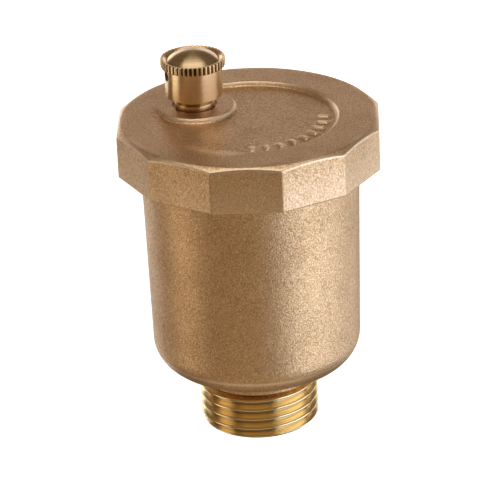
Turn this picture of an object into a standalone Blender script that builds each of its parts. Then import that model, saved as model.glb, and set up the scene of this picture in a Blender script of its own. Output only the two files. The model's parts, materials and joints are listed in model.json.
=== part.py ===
"""Automatic air vent for a heating system: a float lifts a small lever, and the lever shuts the air nozzle.

Units are metres and +Z is up.  The origin is the centre of the inlet thread's end face, on the body's axis.
The nozzle, the lever and everything that hangs on them lie in one upright plane through the body's axis.
That plane is the local XZ plane of the empty "valve_plane", so X there is the distance from the body's axis.
"""

from math import asin, atan2, ceil, cos, degrees, hypot, pi, radians, sin, sqrt, tan

import bmesh
import bpy

MM = 0.001

# ---------------------------------------------------------------- gaps
GAP = 0.3 * MM                   # between two pieces that seat on each other
SMALL_GAP = 0.2 * MM             # the same, between the small pieces of the valve
RUNNING_GAP = 0.1 * MM           # round a pin that turns
PRESS_GAP = 0.05 * MM            # round a pin that is held
PAST = 1 * MM                    # how far a cutter runs past what it cuts

# ---------------------------------------------------------------- inlet thread (G 1/2)
THREAD_OD = 20.955 * MM
THREAD_PITCH = 1.814 * MM
THREAD_DEPTH = 1.162 * MM
THREAD_LENGTH = 8.3 * MM
THREAD_CREST = 0.42 * MM         # width left on top of a crest
THREAD_ROOT = 0.30 * MM          # width of the groove's floor
THREAD_CHAMFER = 0.65 * MM
THREAD_START = -8.0              # degrees, turns the whole helix
RELIEF_LENGTH = 0.5 * MM
RELIEF_DEPTH = 0.1 * MM          # below the thread's root
THREAD_END_CHAMFER = 0.6 * MM    # beside the relief
INLET_BORE = 15.0 * MM

# ---------------------------------------------------------------- body
BODY_OD = 38.06 * MM             # just below the lid
BODY_DRAFT = radians(1.12)
BODY_WALL = 2.4 * MM
BODY_HEIGHT = 37.6 * MM          # from the underside to the shoulder below the lid
BODY_CORNER = 5.2 * MM           # outer fillet at the bottom
COLLAR_STEP = 0.32 * MM          # how far the collar stands out from the thread
COLLAR_HEIGHT = 2.7 * MM
COLLAR_CHAMFER = 0.4 * MM
FLOOR_THICKNESS = 2.2 * MM
FLOOR_CORNER = 3.0 * MM
RIM_STEP = 0.75 * MM             # how far the screwed rim stands in from the body's side
RIM_HEIGHT = 4.8 * MM
RIM_WALL = 1.7 * MM
RIM_CHAMFER = 0.3 * MM

# ---------------------------------------------------------------- lid
LID_SIDES = 12
LID_OVERHANG = 3.47 * MM         # from the body's side to a flat
LID_TURN = radians(13.0)         # angle of the first corner
LID_HEIGHT = 8.3 * MM
LID_TOP_EDGE = 0.5 * MM          # from a flat in to where the top chamfer starts
LID_TOP_CHAMFER = radians(30.0)
LID_RIM_WIDTH = 6.6 * MM         # the flat ring round the dish
LID_DISH_DEPTH = 0.75 * MM
LID_CEILING = 2.75 * MM          # thickness over the chamber, measured from the rim's top
LID_CHAMBER_PLAY = 0.1 * MM      # how much wider the lid's hollow is than the body's chamber
MARK_COUNT = 9                   # plain raised bars in the dish
MARK_INSET = 2.4 * MM            # from the dish's edge to the middle of a mark
MARK_SIZE = (1.9 * MM, 0.9 * MM)
MARK_HEIGHT = 0.3 * MM
MARK_FROM = radians(-88.0)
MARK_TO = radians(0.0)

# ---------------------------------------------------------------- lid seal
ORING_SECTION = 1.3 * MM
ORING_SQUEEZE_GAP = 0.15 * MM

# ---------------------------------------------------------------- nozzle and its fastening
VALVE_ANGLE = radians(145.6)
BOSS_DIAMETER = 13.8 * MM
BOSS_INSET = 0.25 * MM           # the pad's centre is this much nearer to the middle
SPOT_FACE_MARGIN = 0.5 * MM      # round the neck
SPOT_FACE_DEPTH = 0.45 * MM
NECK_DIAMETER = 6.9 * MM
NOZZLE_SHOULDER = 0.55 * MM      # step from the neck to the shank in the lid
NOZZLE_TAIL = 4.8 * MM           # below the lid
NOZZLE_TIP = 4.4 * MM
NOZZLE_TIP_LENGTH = 2.1 * MM
NOZZLE_CHAMFER = 0.4 * MM
NOZZLE_BORE = 2.0 * MM
SEAT_WIDTH = 0.5 * MM
SEAT_HEIGHT = 0.3 * MM
GASKET_THICKNESS = 0.6 * MM
GASKET_DIAMETER = 8.6 * MM
NUT_ACROSS_FLATS = 7.0 * MM
NUT_HEIGHT = 1.5 * MM
NUT_CHAMFER = radians(30)

# ---------------------------------------------------------------- cap
CAP_CLEARANCE = 1.95 * MM        # from the lid's top to the cap's skirt
CAP_WALL = 1.38 * MM
CAP_SKIRT_HEIGHT = 5.35 * MM
CAP_FLANGE_STEP = 0.65 * MM      # how far the flange stands out from the skirt
CAP_FLANGE_HEIGHT = 1.55 * MM
CAP_LIP = 0.15 * MM              # flat left on top of the flange's edge
CAP_RIM_WIDTH = 1.05 * MM        # from the flange's edge in to the dome
CAP_RIM_SLOPE = 0.4 * MM         # how far the rim falls towards the dome
CAP_DOME_HEIGHT = 1.7 * MM       # above the rim's lowest point
CAP_PIP_DIAMETER = 0.8 * MM      # left by parting off
CAP_PIP_HEIGHT = 0.15 * MM
CAP_ROOF = 0.75 * MM             # from the flange's top down to the inner ceiling
CAP_FIT = 0.17 * MM              # radial, round the neck's thread
CAP_CHAMFER = 0.3 * MM
CAP_KNURLS = 44
CAP_KNURL_DEPTH = 0.35 * MM
CAP_HOLE_DIAMETER = 1.8 * MM
CAP_HOLE_DROP = 1.2 * MM         # hole's axis below the flange
CAP_HOLE_ANGLE = radians(200.0)
CAP_SEAL_THICKNESS = 0.7 * MM

# ---------------------------------------------------------------- lever, stem and pins
STEM_ARM = 3.1 * MM              # from the pivot to the nozzle's axis
LEVER_HALF_SWING = radians(8.7)
LEVER_THICKNESS = 0.8 * MM
LEVER_WIDTH = 5.0 * MM
LEVER_TIP_WIDTH = 2.4 * MM
PIVOT_EYE = 2.3 * MM
LINK_EYE = 3.0 * MM
LINK_EYE_PLAY = 0.28 * MM        # radial, the eye slides a little as the lever swings
PIN_DIAMETER = 1.2 * MM
PIN_HEAD_DIAMETER = 2.0 * MM
PIN_HEAD = 0.5 * MM
PIN_GROOVE = 0.2 * MM
CLIP_DIAMETER = 2.2 * MM
CLIP_THICKNESS = 0.4 * MM
SHEET = 0.5 * MM                 # stainless sheet of the bracket
NUT_SIDE_GAP = 0.4 * MM          # from the nut's flats to the bracket's cheeks
BRACKET_WALL_GAP = 0.66 * MM     # from the cheeks' back corners to the chamber's wall
BRACKET_FRONT = 3.7 * MM         # plate edge in front of the nozzle axis
BRACKET_BACK = 1.1 * MM          # cheek edge behind the pivot
CHEEK_BELOW_PIVOT = 1.1 * MM
CHEEK_FRONT = 2.0 * MM           # cheek edge in front of the pivot, below the guide tab
GUIDE_FRONT = 1.8 * MM           # guide tab's edge in front of the nozzle axis
BRACKET_BEND = 2.0 * MM          # depth of the full-length part of the cheeks
STEM_DIAMETER = 1.6 * MM
STEM_FLANGE_LIP = 0.1 * MM       # outside the pad
STEM_FLANGE = 0.5 * MM
STEM_NIPPLE_DIAMETER = 0.9 * MM
STEM_SLOT_PLAY = 0.35 * MM       # round the stem in the lever
STEM_CLIP_DIAMETER = 3.2 * MM
STEM_CLIP_PLAY = 0.25 * MM       # under the lever
PAD_DIAMETER = 4.2 * MM
PAD_THICKNESS = 1.0 * MM
PAD_CHAMFER = 0.3 * MM
STEM_NIPPLE = 0.6 * MM           # how far the stem reaches into the pad
PAD_SEAT_GAP = 0.1 * MM          # left when the valve is shut
SPRING_LENGTH = 3.0 * MM
SPRING_PLAY = 0.6 * MM           # from the stem to the coils
SPRING_WIRE = 0.4 * MM
SPRING_TURNS = 4

# ---------------------------------------------------------------- float
FLOAT_SIDE_CLEARANCE = 1.68 * MM # to the narrowest part of the chamber
FLOAT_WALL = 0.9 * MM
FLOAT_CORNER = 3.2 * MM
FLOAT_FLOOR_CLEARANCE = 2.6 * MM
FLOAT_LIP = 1.2 * MM             # how far the lower shell's lip stands inside the upper shell
CLEVIS_BASE_DIAMETER = 8.0 * MM
CLEVIS_BASE = 0.8 * MM
CLEVIS_EAR_WIDTH = 2.8 * MM
CLEVIS_EAR = 0.8 * MM

# ---------------------------------------------------------------- facets
BODY_STEPS = 36
LID_STEPS = 60
VALVE_STEPS = 28
PIN_STEPS = 16

# ---------------------------------------------------------------- radii and widths that follow from the sizes
THREAD_R = THREAD_OD / 2
COLLAR_R = THREAD_R + COLLAR_STEP
RIM_R = BODY_OD / 2 - RIM_STEP
CHAMBER_R = RIM_R - RIM_WALL
RECESS_R = RIM_R + GAP
LID_CHAMBER_R = CHAMBER_R + LID_CHAMBER_PLAY
LID_FLAT_R = BODY_OD / 2 + LID_OVERHANG
LID_TOP_R = LID_FLAT_R - LID_TOP_EDGE
LID_DISH_R = LID_TOP_R - LID_RIM_WIDTH
MARK_RADIUS = LID_DISH_R - MARK_INSET

BRACKET_WIDTH = NUT_ACROSS_FLATS + 2 * (NUT_SIDE_GAP + SHEET)
PIVOT_EYE_WIDTH = BRACKET_WIDTH - 2 * (SHEET + GAP)
CLEVIS_SLOT = LEVER_TIP_WIDTH + 2 * GAP
PIVOT_OFFSET = sqrt((CHAMBER_R - BRACKET_WALL_GAP) ** 2 - (BRACKET_WIDTH / 2) ** 2) - BRACKET_BACK
VALVE_OFFSET = PIVOT_OFFSET - STEM_ARM
SPOT_FACE_DIAMETER = NECK_DIAMETER + 2 * SPOT_FACE_MARGIN
NOZZLE_SHANK = NECK_DIAMETER - 2 * NOZZLE_SHOULDER
STEM_FLANGE_DIAMETER = PAD_DIAMETER + 2 * STEM_FLANGE_LIP
SPRING_DIAMETER = STEM_DIAMETER + 2 * SPRING_PLAY + SPRING_WIRE

CAP_BORE_R = NECK_DIAMETER / 2 + CAP_FIT
CAP_SKIRT_R = CAP_BORE_R + CAP_WALL
CAP_FLANGE_R = CAP_SKIRT_R + CAP_FLANGE_STEP
CAP_DOME_R = CAP_FLANGE_R - CAP_RIM_WIDTH

# ---------------------------------------------------------------- heights that follow from the sizes
COLLAR_LOW = THREAD_LENGTH + RELIEF_LENGTH
UNDERSIDE = COLLAR_LOW + COLLAR_HEIGHT
SHOULDER = UNDERSIDE + BODY_HEIGHT
RIM_TOP = SHOULDER + RIM_HEIGHT
LID_LOW = SHOULDER + GAP
LID_TOP = LID_LOW + LID_HEIGHT
CEILING = LID_TOP - LID_CEILING
CHAMBER_FLOOR = UNDERSIDE + FLOOR_THICKNESS

GASKET_TOP = CEILING - SMALL_GAP
PLATE_TOP = GASKET_TOP - GASKET_THICKNESS - SMALL_GAP
NUT_TOP = PLATE_TOP - SHEET - SMALL_GAP
NOZZLE_LOW = NUT_TOP - NUT_HEIGHT - SEAT_HEIGHT
LINK_ARM = PIVOT_OFFSET
FLOAT_TRAVEL = 2 * LINK_ARM * sin(LEVER_HALF_SWING)
STEM_TRAVEL = 2 * STEM_ARM * sin(LEVER_HALF_SWING)
PAD_TOP = NOZZLE_LOW - PAD_SEAT_GAP - STEM_TRAVEL
FLANGE_TOP = PAD_TOP - PAD_THICKNESS - SMALL_GAP
SPRING_TOP = FLANGE_TOP - STEM_FLANGE - SMALL_GAP
TAB_TOP = SPRING_TOP - SPRING_LENGTH - SMALL_GAP
TAB_FRONT = VALVE_OFFSET - GUIDE_FRONT
PIVOT_Z = TAB_TOP - SHEET - GAP - LEVER_THICKNESS / 2 - (PIVOT_OFFSET - TAB_FRONT) * tan(LEVER_HALF_SWING)
LINK_Z = PIVOT_Z - LINK_ARM * sin(LEVER_HALF_SWING)
LEVER_AT_STEM = PIVOT_Z - STEM_ARM * sin(LEVER_HALF_SWING)
STEM_CLIP_TOP = LEVER_AT_STEM - LEVER_THICKNESS / 2 - STEM_CLIP_PLAY
STEM_LOW = STEM_CLIP_TOP - CLIP_THICKNESS - GAP
FLOAT_TOP = PIVOT_Z - PIVOT_EYE / 2 - SMALL_GAP - FLOAT_TRAVEL
FLOAT_LOW = CHAMBER_FLOOR + FLOAT_FLOOR_CLEARANCE
FLOAT_SEAM = (FLOAT_LOW + FLOAT_TOP) / 2

CAP_LOW = LID_TOP + CAP_CLEARANCE
FLANGE_LOW = CAP_LOW + CAP_SKIRT_HEIGHT
FLANGE_HIGH = FLANGE_LOW + CAP_FLANGE_HEIGHT
CAP_CEILING = FLANGE_HIGH - CAP_ROOF
NOZZLE_TOP = CAP_CEILING - CAP_SEAL_THICKNESS - 2 * SMALL_GAP


# ---------------------------------------------------------------- scene helpers
def clear_scene():
    for item in list(bpy.data.objects):
        bpy.data.objects.remove(item, do_unlink=True)


def new_collection(name):
    collection = bpy.data.collections.new(name)
    bpy.context.scene.collection.children.link(collection)
    return collection


clear_scene()
PARTS = new_collection("automatic_air_vent")
CUTTERS = new_collection("cutters")


def principled(name, colour, roughness, metallic):
    material = bpy.data.materials.new(name)
    material.use_nodes = True
    shader = material.node_tree.nodes["Principled BSDF"]
    shader.inputs["Base Color"].default_value = (*colour, 1.0)
    shader.inputs["Roughness"].default_value = roughness
    shader.inputs["Metallic"].default_value = metallic
    return material


CAST_BRASS = ((0.47, 0.33, 0.19), 0.48, 1.0)
MACHINED_BRASS = ((0.72, 0.50, 0.20), 0.22, 1.0)
STAINLESS = ((0.62, 0.61, 0.59), 0.30, 1.0)
BLACK_RUBBER = ((0.02, 0.02, 0.02), 0.75, 0.0)
RED_FIBRE = ((0.35, 0.07, 0.04), 0.85, 0.0)
WHITE_PLASTIC = ((0.78, 0.78, 0.74), 0.50, 0.0)


def add_object(name, mesh, finish=None, parent=None, location=(0, 0, 0), rotation=(0, 0, 0)):
    """Link a mesh as a finished part, or as a cutter when it has no finish."""
    item = bpy.data.objects.new(name, mesh)
    item.parent = parent
    item.location = location
    item.rotation_euler = rotation
    if finish is None:
        CUTTERS.objects.link(item)
        item.hide_render = True
        item.display_type = "WIRE"
    else:
        PARTS.objects.link(item)
        mesh.materials.append(principled(name, *finish))
    return item


def mesh_from(bm, name, smooth=True):
    bmesh.ops.recalc_face_normals(bm, faces=bm.faces)
    mesh = bpy.data.meshes.new(name)
    bm.to_mesh(mesh)
    bm.free()
    if smooth:
        mesh.shade_smooth()
        mesh.set_sharp_from_angle(angle=radians(35))
    return mesh


def box(name, low, high, **place):
    bm = bmesh.new()
    bmesh.ops.create_cube(bm, size=1.0)
    for vert in bm.verts:
        for axis in range(3):
            vert.co[axis] = low[axis] + (vert.co[axis] + 0.5) * (high[axis] - low[axis])
    return add_object(name, mesh_from(bm, name, smooth=False), **place)


def cylinder(name, radius, low, high, steps=PIN_STEPS, **place):
    """A closed cylinder along local Z, between two heights."""
    bm = bmesh.new()
    bmesh.ops.create_cone(bm, cap_ends=True, segments=steps, radius1=radius, radius2=radius, depth=high - low)
    bmesh.ops.translate(bm, verts=bm.verts, vec=(0, 0, (low + high) / 2))
    return add_object(name, mesh_from(bm, name), **place)


def turned(name, profile, steps=VALVE_STEPS, closed=True, **place):
    """Turn an (r, z) profile about local Z.  It runs down the outer side first, and a closed one is a ring."""
    bm = bmesh.new()
    verts = [bm.verts.new((r, 0, z)) for r, z in profile]
    for first, second in zip(verts, verts[1:]):
        bm.edges.new((first, second))
    if closed:
        bm.edges.new((verts[-1], verts[0]))
    mesh = bpy.data.meshes.new(name)
    bm.to_mesh(mesh)
    bm.free()
    item = add_object(name, mesh, **place)
    screw = item.modifiers.new("turn", "SCREW")
    screw.axis = "Z"
    screw.steps = steps
    screw.render_steps = steps
    screw.use_merge_vertices = True
    screw.merge_threshold = 0.00001
    screw.use_smooth_shade = True
    return item


def made_mesh(item):
    """Replace an object's modifiers by the mesh they make, so that its points can be edited."""
    graph = bpy.context.evaluated_depsgraph_get()
    mesh = bpy.data.meshes.new_from_object(item.evaluated_get(graph))
    item.modifiers.clear()
    item.data = mesh
    return item


def boolean(item, tool, operation="DIFFERENCE"):
    cut = item.modifiers.new(operation.lower(), "BOOLEAN")
    cut.object = tool
    cut.operation = operation
    cut.solver = "EXACT"


def arc(centre_r, centre_z, radius, start, end, count):
    """Points of an arc in the (r, z) plane, by angle from +r towards +z."""
    angles = [radians(start + (end - start) * i / count) for i in range(count + 1)]
    return [(centre_r + radius * cos(a), centre_z + radius * sin(a)) for a in angles]


def valve_plane():
    """The empty that carries the nozzle, the lever and the stem."""
    empty = bpy.data.objects.new("valve_plane", None)
    PARTS.objects.link(empty)
    empty.rotation_euler = (0, 0, VALVE_ANGLE)
    return empty


# ---------------------------------------------------------------- body
def body_side(z):
    """Radius of the body's tapered side at a height."""
    return BODY_OD / 2 - (SHOULDER - z) * tan(BODY_DRAFT)


def chamber_low_r():
    """Radius of the chamber where its wall meets the floor's fillet, which is its narrowest."""
    return body_side(CHAMBER_FLOOR + FLOOR_CORNER) - BODY_WALL


def thread_groove():
    """The V groove between the crests, as a helical solid that starts below the end face."""
    below = 2 * THREAD_PITCH
    turns = ceil(2 * (THREAD_LENGTH + below - THREAD_PITCH * 0.6) / THREAD_PITCH) / 2
    half_top = (THREAD_PITCH - THREAD_CREST) / 2
    half_root = THREAD_ROOT / 2
    outside = THREAD_R + PAST
    root = THREAD_R - THREAD_DEPTH
    profile = [(outside, half_top), (outside, -half_top), (THREAD_R, -half_top), (root, -half_root),
               (root, half_root), (THREAD_R, half_top)]
    groove = turned("thread_groove", profile, rotation=(0, 0, radians(THREAD_START)), location=(0, 0, -below))
    screw = groove.modifiers["turn"]
    screw.angle = 2 * pi * turns
    screw.screw_offset = THREAD_PITCH * turns
    screw.steps = int(BODY_STEPS * turns)
    screw.render_steps = screw.steps
    made_mesh(groove)
    bm = bmesh.new()
    bm.from_mesh(groove.data)
    bmesh.ops.holes_fill(bm, edges=[edge for edge in bm.edges if edge.is_boundary], sides=0)
    bmesh.ops.recalc_face_normals(bm, faces=bm.faces)
    bm.to_mesh(groove.data)
    bm.free()
    return groove


def make_body():
    relief_r = THREAD_R - THREAD_DEPTH - RELIEF_DEPTH
    corner_z = UNDERSIDE + BODY_CORNER
    corner_r = body_side(corner_z) - BODY_CORNER
    floor_z = CHAMBER_FLOOR + FLOOR_CORNER
    floor_r = chamber_low_r() - FLOOR_CORNER
    outside = [
        (RIM_R - RIM_CHAMFER, RIM_TOP),
        (RIM_R, RIM_TOP - RIM_CHAMFER),
        (RIM_R, SHOULDER),
        (BODY_OD / 2, SHOULDER),
        *arc(corner_r, corner_z, BODY_CORNER, 0, -84, 6),
        (COLLAR_R, UNDERSIDE - COLLAR_CHAMFER / 2),
        (COLLAR_R, COLLAR_LOW + COLLAR_CHAMFER),
        (COLLAR_R - COLLAR_CHAMFER, COLLAR_LOW),
        (relief_r, COLLAR_LOW),
        (relief_r, THREAD_LENGTH),
        (THREAD_R - THREAD_END_CHAMFER, THREAD_LENGTH),
        (THREAD_R, THREAD_LENGTH - THREAD_END_CHAMFER),
        (THREAD_R, THREAD_CHAMFER),
        (THREAD_R - THREAD_CHAMFER, 0),
    ]
    inside = [
        (INLET_BORE / 2, 0),
        (INLET_BORE / 2, CHAMBER_FLOOR),
        *arc(floor_r, floor_z, FLOOR_CORNER, -90, 0, 4),
        (CHAMBER_R, SHOULDER),
        (CHAMBER_R, RIM_TOP),
    ]
    half_facet = pi / BODY_STEPS     # keeps the body's columns off the groove's
    item = turned("body", outside + inside, steps=BODY_STEPS, finish=CAST_BRASS,
                  rotation=(0, 0, radians(THREAD_START) + half_facet))
    boolean(item, thread_groove())
    return item


# ---------------------------------------------------------------- lid
def lid_envelope(radius):
    """The turned shape that gives the twelve-sided blank its sloping top edge."""
    drop = (radius - LID_TOP_R) * tan(LID_TOP_CHAMFER)
    profile = [(0, LID_TOP), (LID_TOP_R, LID_TOP), (radius, LID_TOP - drop),
               (radius, LID_LOW - PAST), (0, LID_LOW - PAST)]
    return turned("lid_envelope", profile, steps=LID_STEPS, closed=False)


def lid_dish(plane):
    """The shallow dish in the top, without the pad that the nozzle stands on."""
    floor = LID_TOP - LID_DISH_DEPTH
    above = LID_TOP + PAST
    dish = cylinder("lid_dish", LID_DISH_R, floor, above, steps=LID_STEPS)
    pad = cylinder("lid_pad", BOSS_DIAMETER / 2, floor - PAST, above + PAST, steps=LID_STEPS // 2,
                   parent=plane, location=(VALVE_OFFSET - BOSS_INSET, 0, 0))
    boolean(dish, pad)
    return dish


def lid_marks(item):
    """Plain raised bars, evenly spaced on an arc of the dish."""
    floor = LID_TOP - LID_DISH_DEPTH
    length, width = MARK_SIZE
    for i in range(MARK_COUNT):
        angle = MARK_FROM + (MARK_TO - MARK_FROM) * i / (MARK_COUNT - 1)
        place = (MARK_RADIUS * cos(angle), MARK_RADIUS * sin(angle), 0)
        bar = box(f"lid_mark_{i + 1}", (-length / 2, -width / 2, floor - MARK_HEIGHT),
                  (length / 2, width / 2, floor + MARK_HEIGHT), location=place, rotation=(0, 0, angle))
        boolean(item, bar, "UNION")


def make_lid(plane):
    bm = bmesh.new()
    corner_r = LID_FLAT_R / cos(pi / LID_SIDES)
    bmesh.ops.create_cone(bm, cap_ends=True, segments=LID_SIDES, radius1=corner_r, radius2=corner_r,
                          depth=LID_HEIGHT)
    bmesh.ops.translate(bm, verts=bm.verts, vec=(0, 0, (LID_LOW + LID_TOP) / 2))
    item = add_object("lid", mesh_from(bm, "lid"), finish=CAST_BRASS, rotation=(0, 0, LID_TURN))
    boolean(item, lid_envelope(corner_r + PAST), "INTERSECT")
    boolean(item, lid_dish(plane))
    lid_marks(item)
    groove_top = RIM_TOP + ORING_SECTION + 2 * ORING_SQUEEZE_GAP
    boolean(item, cylinder("lid_chamber", LID_CHAMBER_R, LID_LOW - PAST, CEILING, steps=BODY_STEPS))
    ring = [(RECESS_R, groove_top), (RECESS_R, LID_LOW - 2 * PAST),
            (LID_CHAMBER_R - GAP, LID_LOW - 2 * PAST), (LID_CHAMBER_R - GAP, groove_top)]
    boolean(item, turned("lid_recess", ring, steps=BODY_STEPS))
    nozzle_place = {"parent": plane, "location": (VALVE_OFFSET, 0, 0)}
    boolean(item, cylinder("nozzle_hole", NOZZLE_SHANK / 2 + SMALL_GAP, CEILING - PAST, LID_TOP + PAST,
                           steps=VALVE_STEPS, **nozzle_place))
    boolean(item, cylinder("spot_face", SPOT_FACE_DIAMETER / 2, LID_TOP - SPOT_FACE_DEPTH, LID_TOP + 2 * PAST,
                           steps=VALVE_STEPS, **nozzle_place))
    return item


def make_lid_oring():
    section = ORING_SECTION / 2
    centre_r = RECESS_R - section - ORING_SQUEEZE_GAP
    centre_z = RIM_TOP + ORING_SQUEEZE_GAP + section
    profile = arc(centre_r, centre_z, section, 90, -225, 7)
    return turned("lid_oring", profile, steps=BODY_STEPS, finish=BLACK_RUBBER)


# ---------------------------------------------------------------- nozzle and what holds the bracket
def make_nozzle(place):
    neck_low = LID_TOP - SPOT_FACE_DEPTH + SMALL_GAP
    tip_low = NOZZLE_TOP - NOZZLE_TIP_LENGTH
    bore = NOZZLE_BORE / 2
    profile = [
        (NOZZLE_TIP / 2 - NOZZLE_CHAMFER, NOZZLE_TOP),
        (NOZZLE_TIP / 2, NOZZLE_TOP - NOZZLE_CHAMFER),
        (NOZZLE_TIP / 2, tip_low),
        (NECK_DIAMETER / 2 - NOZZLE_CHAMFER, tip_low),
        (NECK_DIAMETER / 2, tip_low - NOZZLE_CHAMFER),
        (NECK_DIAMETER / 2, neck_low),
        (NOZZLE_SHANK / 2, neck_low),
        (NOZZLE_SHANK / 2, CEILING),
        (NOZZLE_TAIL / 2, CEILING),
        (NOZZLE_TAIL / 2, NOZZLE_LOW + SEAT_HEIGHT),
        (bore + SEAT_WIDTH, NOZZLE_LOW),
        (bore, NOZZLE_LOW),
        (bore, NOZZLE_TOP),
    ]
    return turned("valve_nozzle", profile, finish=MACHINED_BRASS, **place)


def ring(name, inner, outer, low, high, finish, place, steps=VALVE_STEPS):
    profile = [(outer, high), (outer, low), (inner, low), (inner, high)]
    return turned(name, profile, steps=steps, finish=finish, **place)


def make_bracket_nut(place):
    low = NUT_TOP - NUT_HEIGHT
    bm = bmesh.new()
    corner_r = NUT_ACROSS_FLATS / 2 / cos(pi / 6)
    bmesh.ops.create_cone(bm, cap_ends=True, segments=6, radius1=corner_r, radius2=corner_r, depth=NUT_HEIGHT)
    bmesh.ops.translate(bm, verts=bm.verts, vec=(0, 0, (NUT_TOP + low) / 2))
    item = add_object("bracket_nut", mesh_from(bm, "bracket_nut"), finish=MACHINED_BRASS,
                      rotation=(0, 0, pi / 6), **place)
    chamfer_r = corner_r + PAST
    drop = (chamfer_r - NUT_ACROSS_FLATS / 2) * tan(NUT_CHAMFER)
    envelope = [(0, NUT_TOP + PAST), (chamfer_r, NUT_TOP + PAST), (chamfer_r, low + drop),
                (NUT_ACROSS_FLATS / 2, low), (0, low)]
    boolean(item, turned("nut_envelope", envelope, closed=False, **place), "INTERSECT")
    boolean(item, cylinder("nut_hole", NOZZLE_TAIL / 2 + SMALL_GAP, low - PAST, NUT_TOP + PAST,
                           steps=VALVE_STEPS, **place))
    return item


# ---------------------------------------------------------------- bracket, pins and clips
def cross_place(plane, along, height):
    """Place for a piece whose local Z runs across the valve plane, at a distance and a height."""
    return {"parent": plane, "location": (along, 0, height), "rotation": (-pi / 2, 0, 0)}


def make_bracket(plane):
    half = BRACKET_WIDTH / 2
    front = VALVE_OFFSET - BRACKET_FRONT
    back = PIVOT_OFFSET + BRACKET_BACK
    low = PIVOT_Z - CHEEK_BELOW_PIVOT
    inner = half - SHEET
    item = box("lever_bracket", (front, -half, low), (back, half, PLATE_TOP), finish=STAINLESS, parent=plane)
    boolean(item, box("bracket_room", (front - PAST, -inner, TAB_TOP), (back + PAST, inner, PLATE_TOP - SHEET),
                      parent=plane))
    boolean(item, box("lever_room", (front - PAST, -inner, low - PAST), (back + PAST, inner, TAB_TOP - SHEET),
                      parent=plane))
    boolean(item, box("cheek_cut", (front - PAST, -half - PAST, low - PAST),
                      (PIVOT_OFFSET - CHEEK_FRONT, half + PAST, TAB_TOP - SHEET - RUNNING_GAP), parent=plane))
    boolean(item, box("tab_cut", (front - PAST, -half - PAST, low - 2 * PAST),
                      (TAB_FRONT, half + PAST, PLATE_TOP - SHEET - BRACKET_BEND), parent=plane))
    nozzle_place = {"parent": plane, "location": (VALVE_OFFSET, 0, 0)}
    boolean(item, cylinder("plate_hole", NOZZLE_TAIL / 2 + SMALL_GAP, PLATE_TOP - SHEET - PAST,
                           PLATE_TOP + PAST, **nozzle_place))
    boolean(item, cylinder("guide_hole", STEM_DIAMETER / 2 + RUNNING_GAP, TAB_TOP - SHEET - PAST / 2,
                           TAB_TOP + PAST / 2, **nozzle_place))
    boolean(item, cylinder("pivot_hole", PIN_DIAMETER / 2 + PRESS_GAP, -half - PAST, half + PAST,
                           **cross_place(plane, PIVOT_OFFSET, PIVOT_Z)))
    return item


def make_pin(name, reach, place):
    """A headed pin with a clip groove, whose shank spans -reach to +reach between the parts it holds."""
    radius = PIN_DIAMETER / 2
    head_r = PIN_HEAD_DIAMETER / 2
    groove = reach + SMALL_GAP
    profile = [
        (0, groove + CLIP_THICKNESS + 2 * PRESS_GAP + GAP),
        (radius, groove + CLIP_THICKNESS + 2 * PRESS_GAP + GAP),
        (radius, groove + CLIP_THICKNESS + PRESS_GAP),
        (radius - PIN_GROOVE, groove + CLIP_THICKNESS + PRESS_GAP),
        (radius - PIN_GROOVE, groove - PRESS_GAP),
        (radius, groove - PRESS_GAP),
        (radius, -reach - SMALL_GAP),
        (head_r, -reach - SMALL_GAP),
        (head_r, -reach - SMALL_GAP - PIN_HEAD),
        (0, -reach - SMALL_GAP - PIN_HEAD),
    ]
    return turned(name, profile, steps=PIN_STEPS, closed=False, finish=STAINLESS, **place)


def make_clip(name, bore, outer, low, place):
    """A C-shaped retaining clip, open towards local +X."""
    high = low + CLIP_THICKNESS
    item = ring(name, bore, outer, low, high, STAINLESS, place, steps=PIN_STEPS)
    boolean(item, box(name + "_mouth", (0, -bore * 0.8, low - PAST), (outer + PAST, bore * 0.8, high + PAST), **place))
    return item


# ---------------------------------------------------------------- lever
def make_lever(plane):
    """A flat strip with a rolled eye at each end, lying at its lowest angle."""
    bm = bmesh.new()
    bmesh.ops.create_cube(bm, size=1.0)
    for vert in bm.verts:
        at_tip = vert.co.x < 0
        width = LEVER_TIP_WIDTH if at_tip else LEVER_WIDTH
        vert.co = (-LINK_ARM + LINK_EYE / 4 if at_tip else 0, vert.co.y * width, vert.co.z * LEVER_THICKNESS)
    pivot = {"parent": plane, "location": (PIVOT_OFFSET, 0, PIVOT_Z), "rotation": (0, -LEVER_HALF_SWING, 0)}
    item = add_object("lever", mesh_from(bm, "lever", smooth=False), finish=STAINLESS, **pivot)
    cross = (-pi / 2, 0, 0)
    tip = (-LINK_ARM, 0, 0)
    on_lever = {"parent": item, "rotation": cross}
    boolean(item, cylinder("pivot_eye", PIVOT_EYE / 2, -PIVOT_EYE_WIDTH / 2, PIVOT_EYE_WIDTH / 2,
                           **on_lever), "UNION")
    boolean(item, cylinder("link_eye", LINK_EYE / 2, -LEVER_TIP_WIDTH / 2, LEVER_TIP_WIDTH / 2, location=tip,
                           **on_lever), "UNION")
    boolean(item, cylinder("pivot_eye_hole", PIN_DIAMETER / 2 + RUNNING_GAP, -PIVOT_EYE_WIDTH / 2 - PAST,
                           PIVOT_EYE_WIDTH / 2 + PAST, **on_lever))
    boolean(item, cylinder("link_eye_hole", PIN_DIAMETER / 2 + LINK_EYE_PLAY, -LEVER_TIP_WIDTH / 2 - PAST,
                           LEVER_TIP_WIDTH / 2 + PAST, location=tip, **on_lever))
    boolean(item, cylinder("stem_slot", STEM_DIAMETER / 2 + STEM_SLOT_PLAY, -PAST, PAST, parent=item,
                           location=(-STEM_ARM, 0, 0)))
    return item


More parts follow.
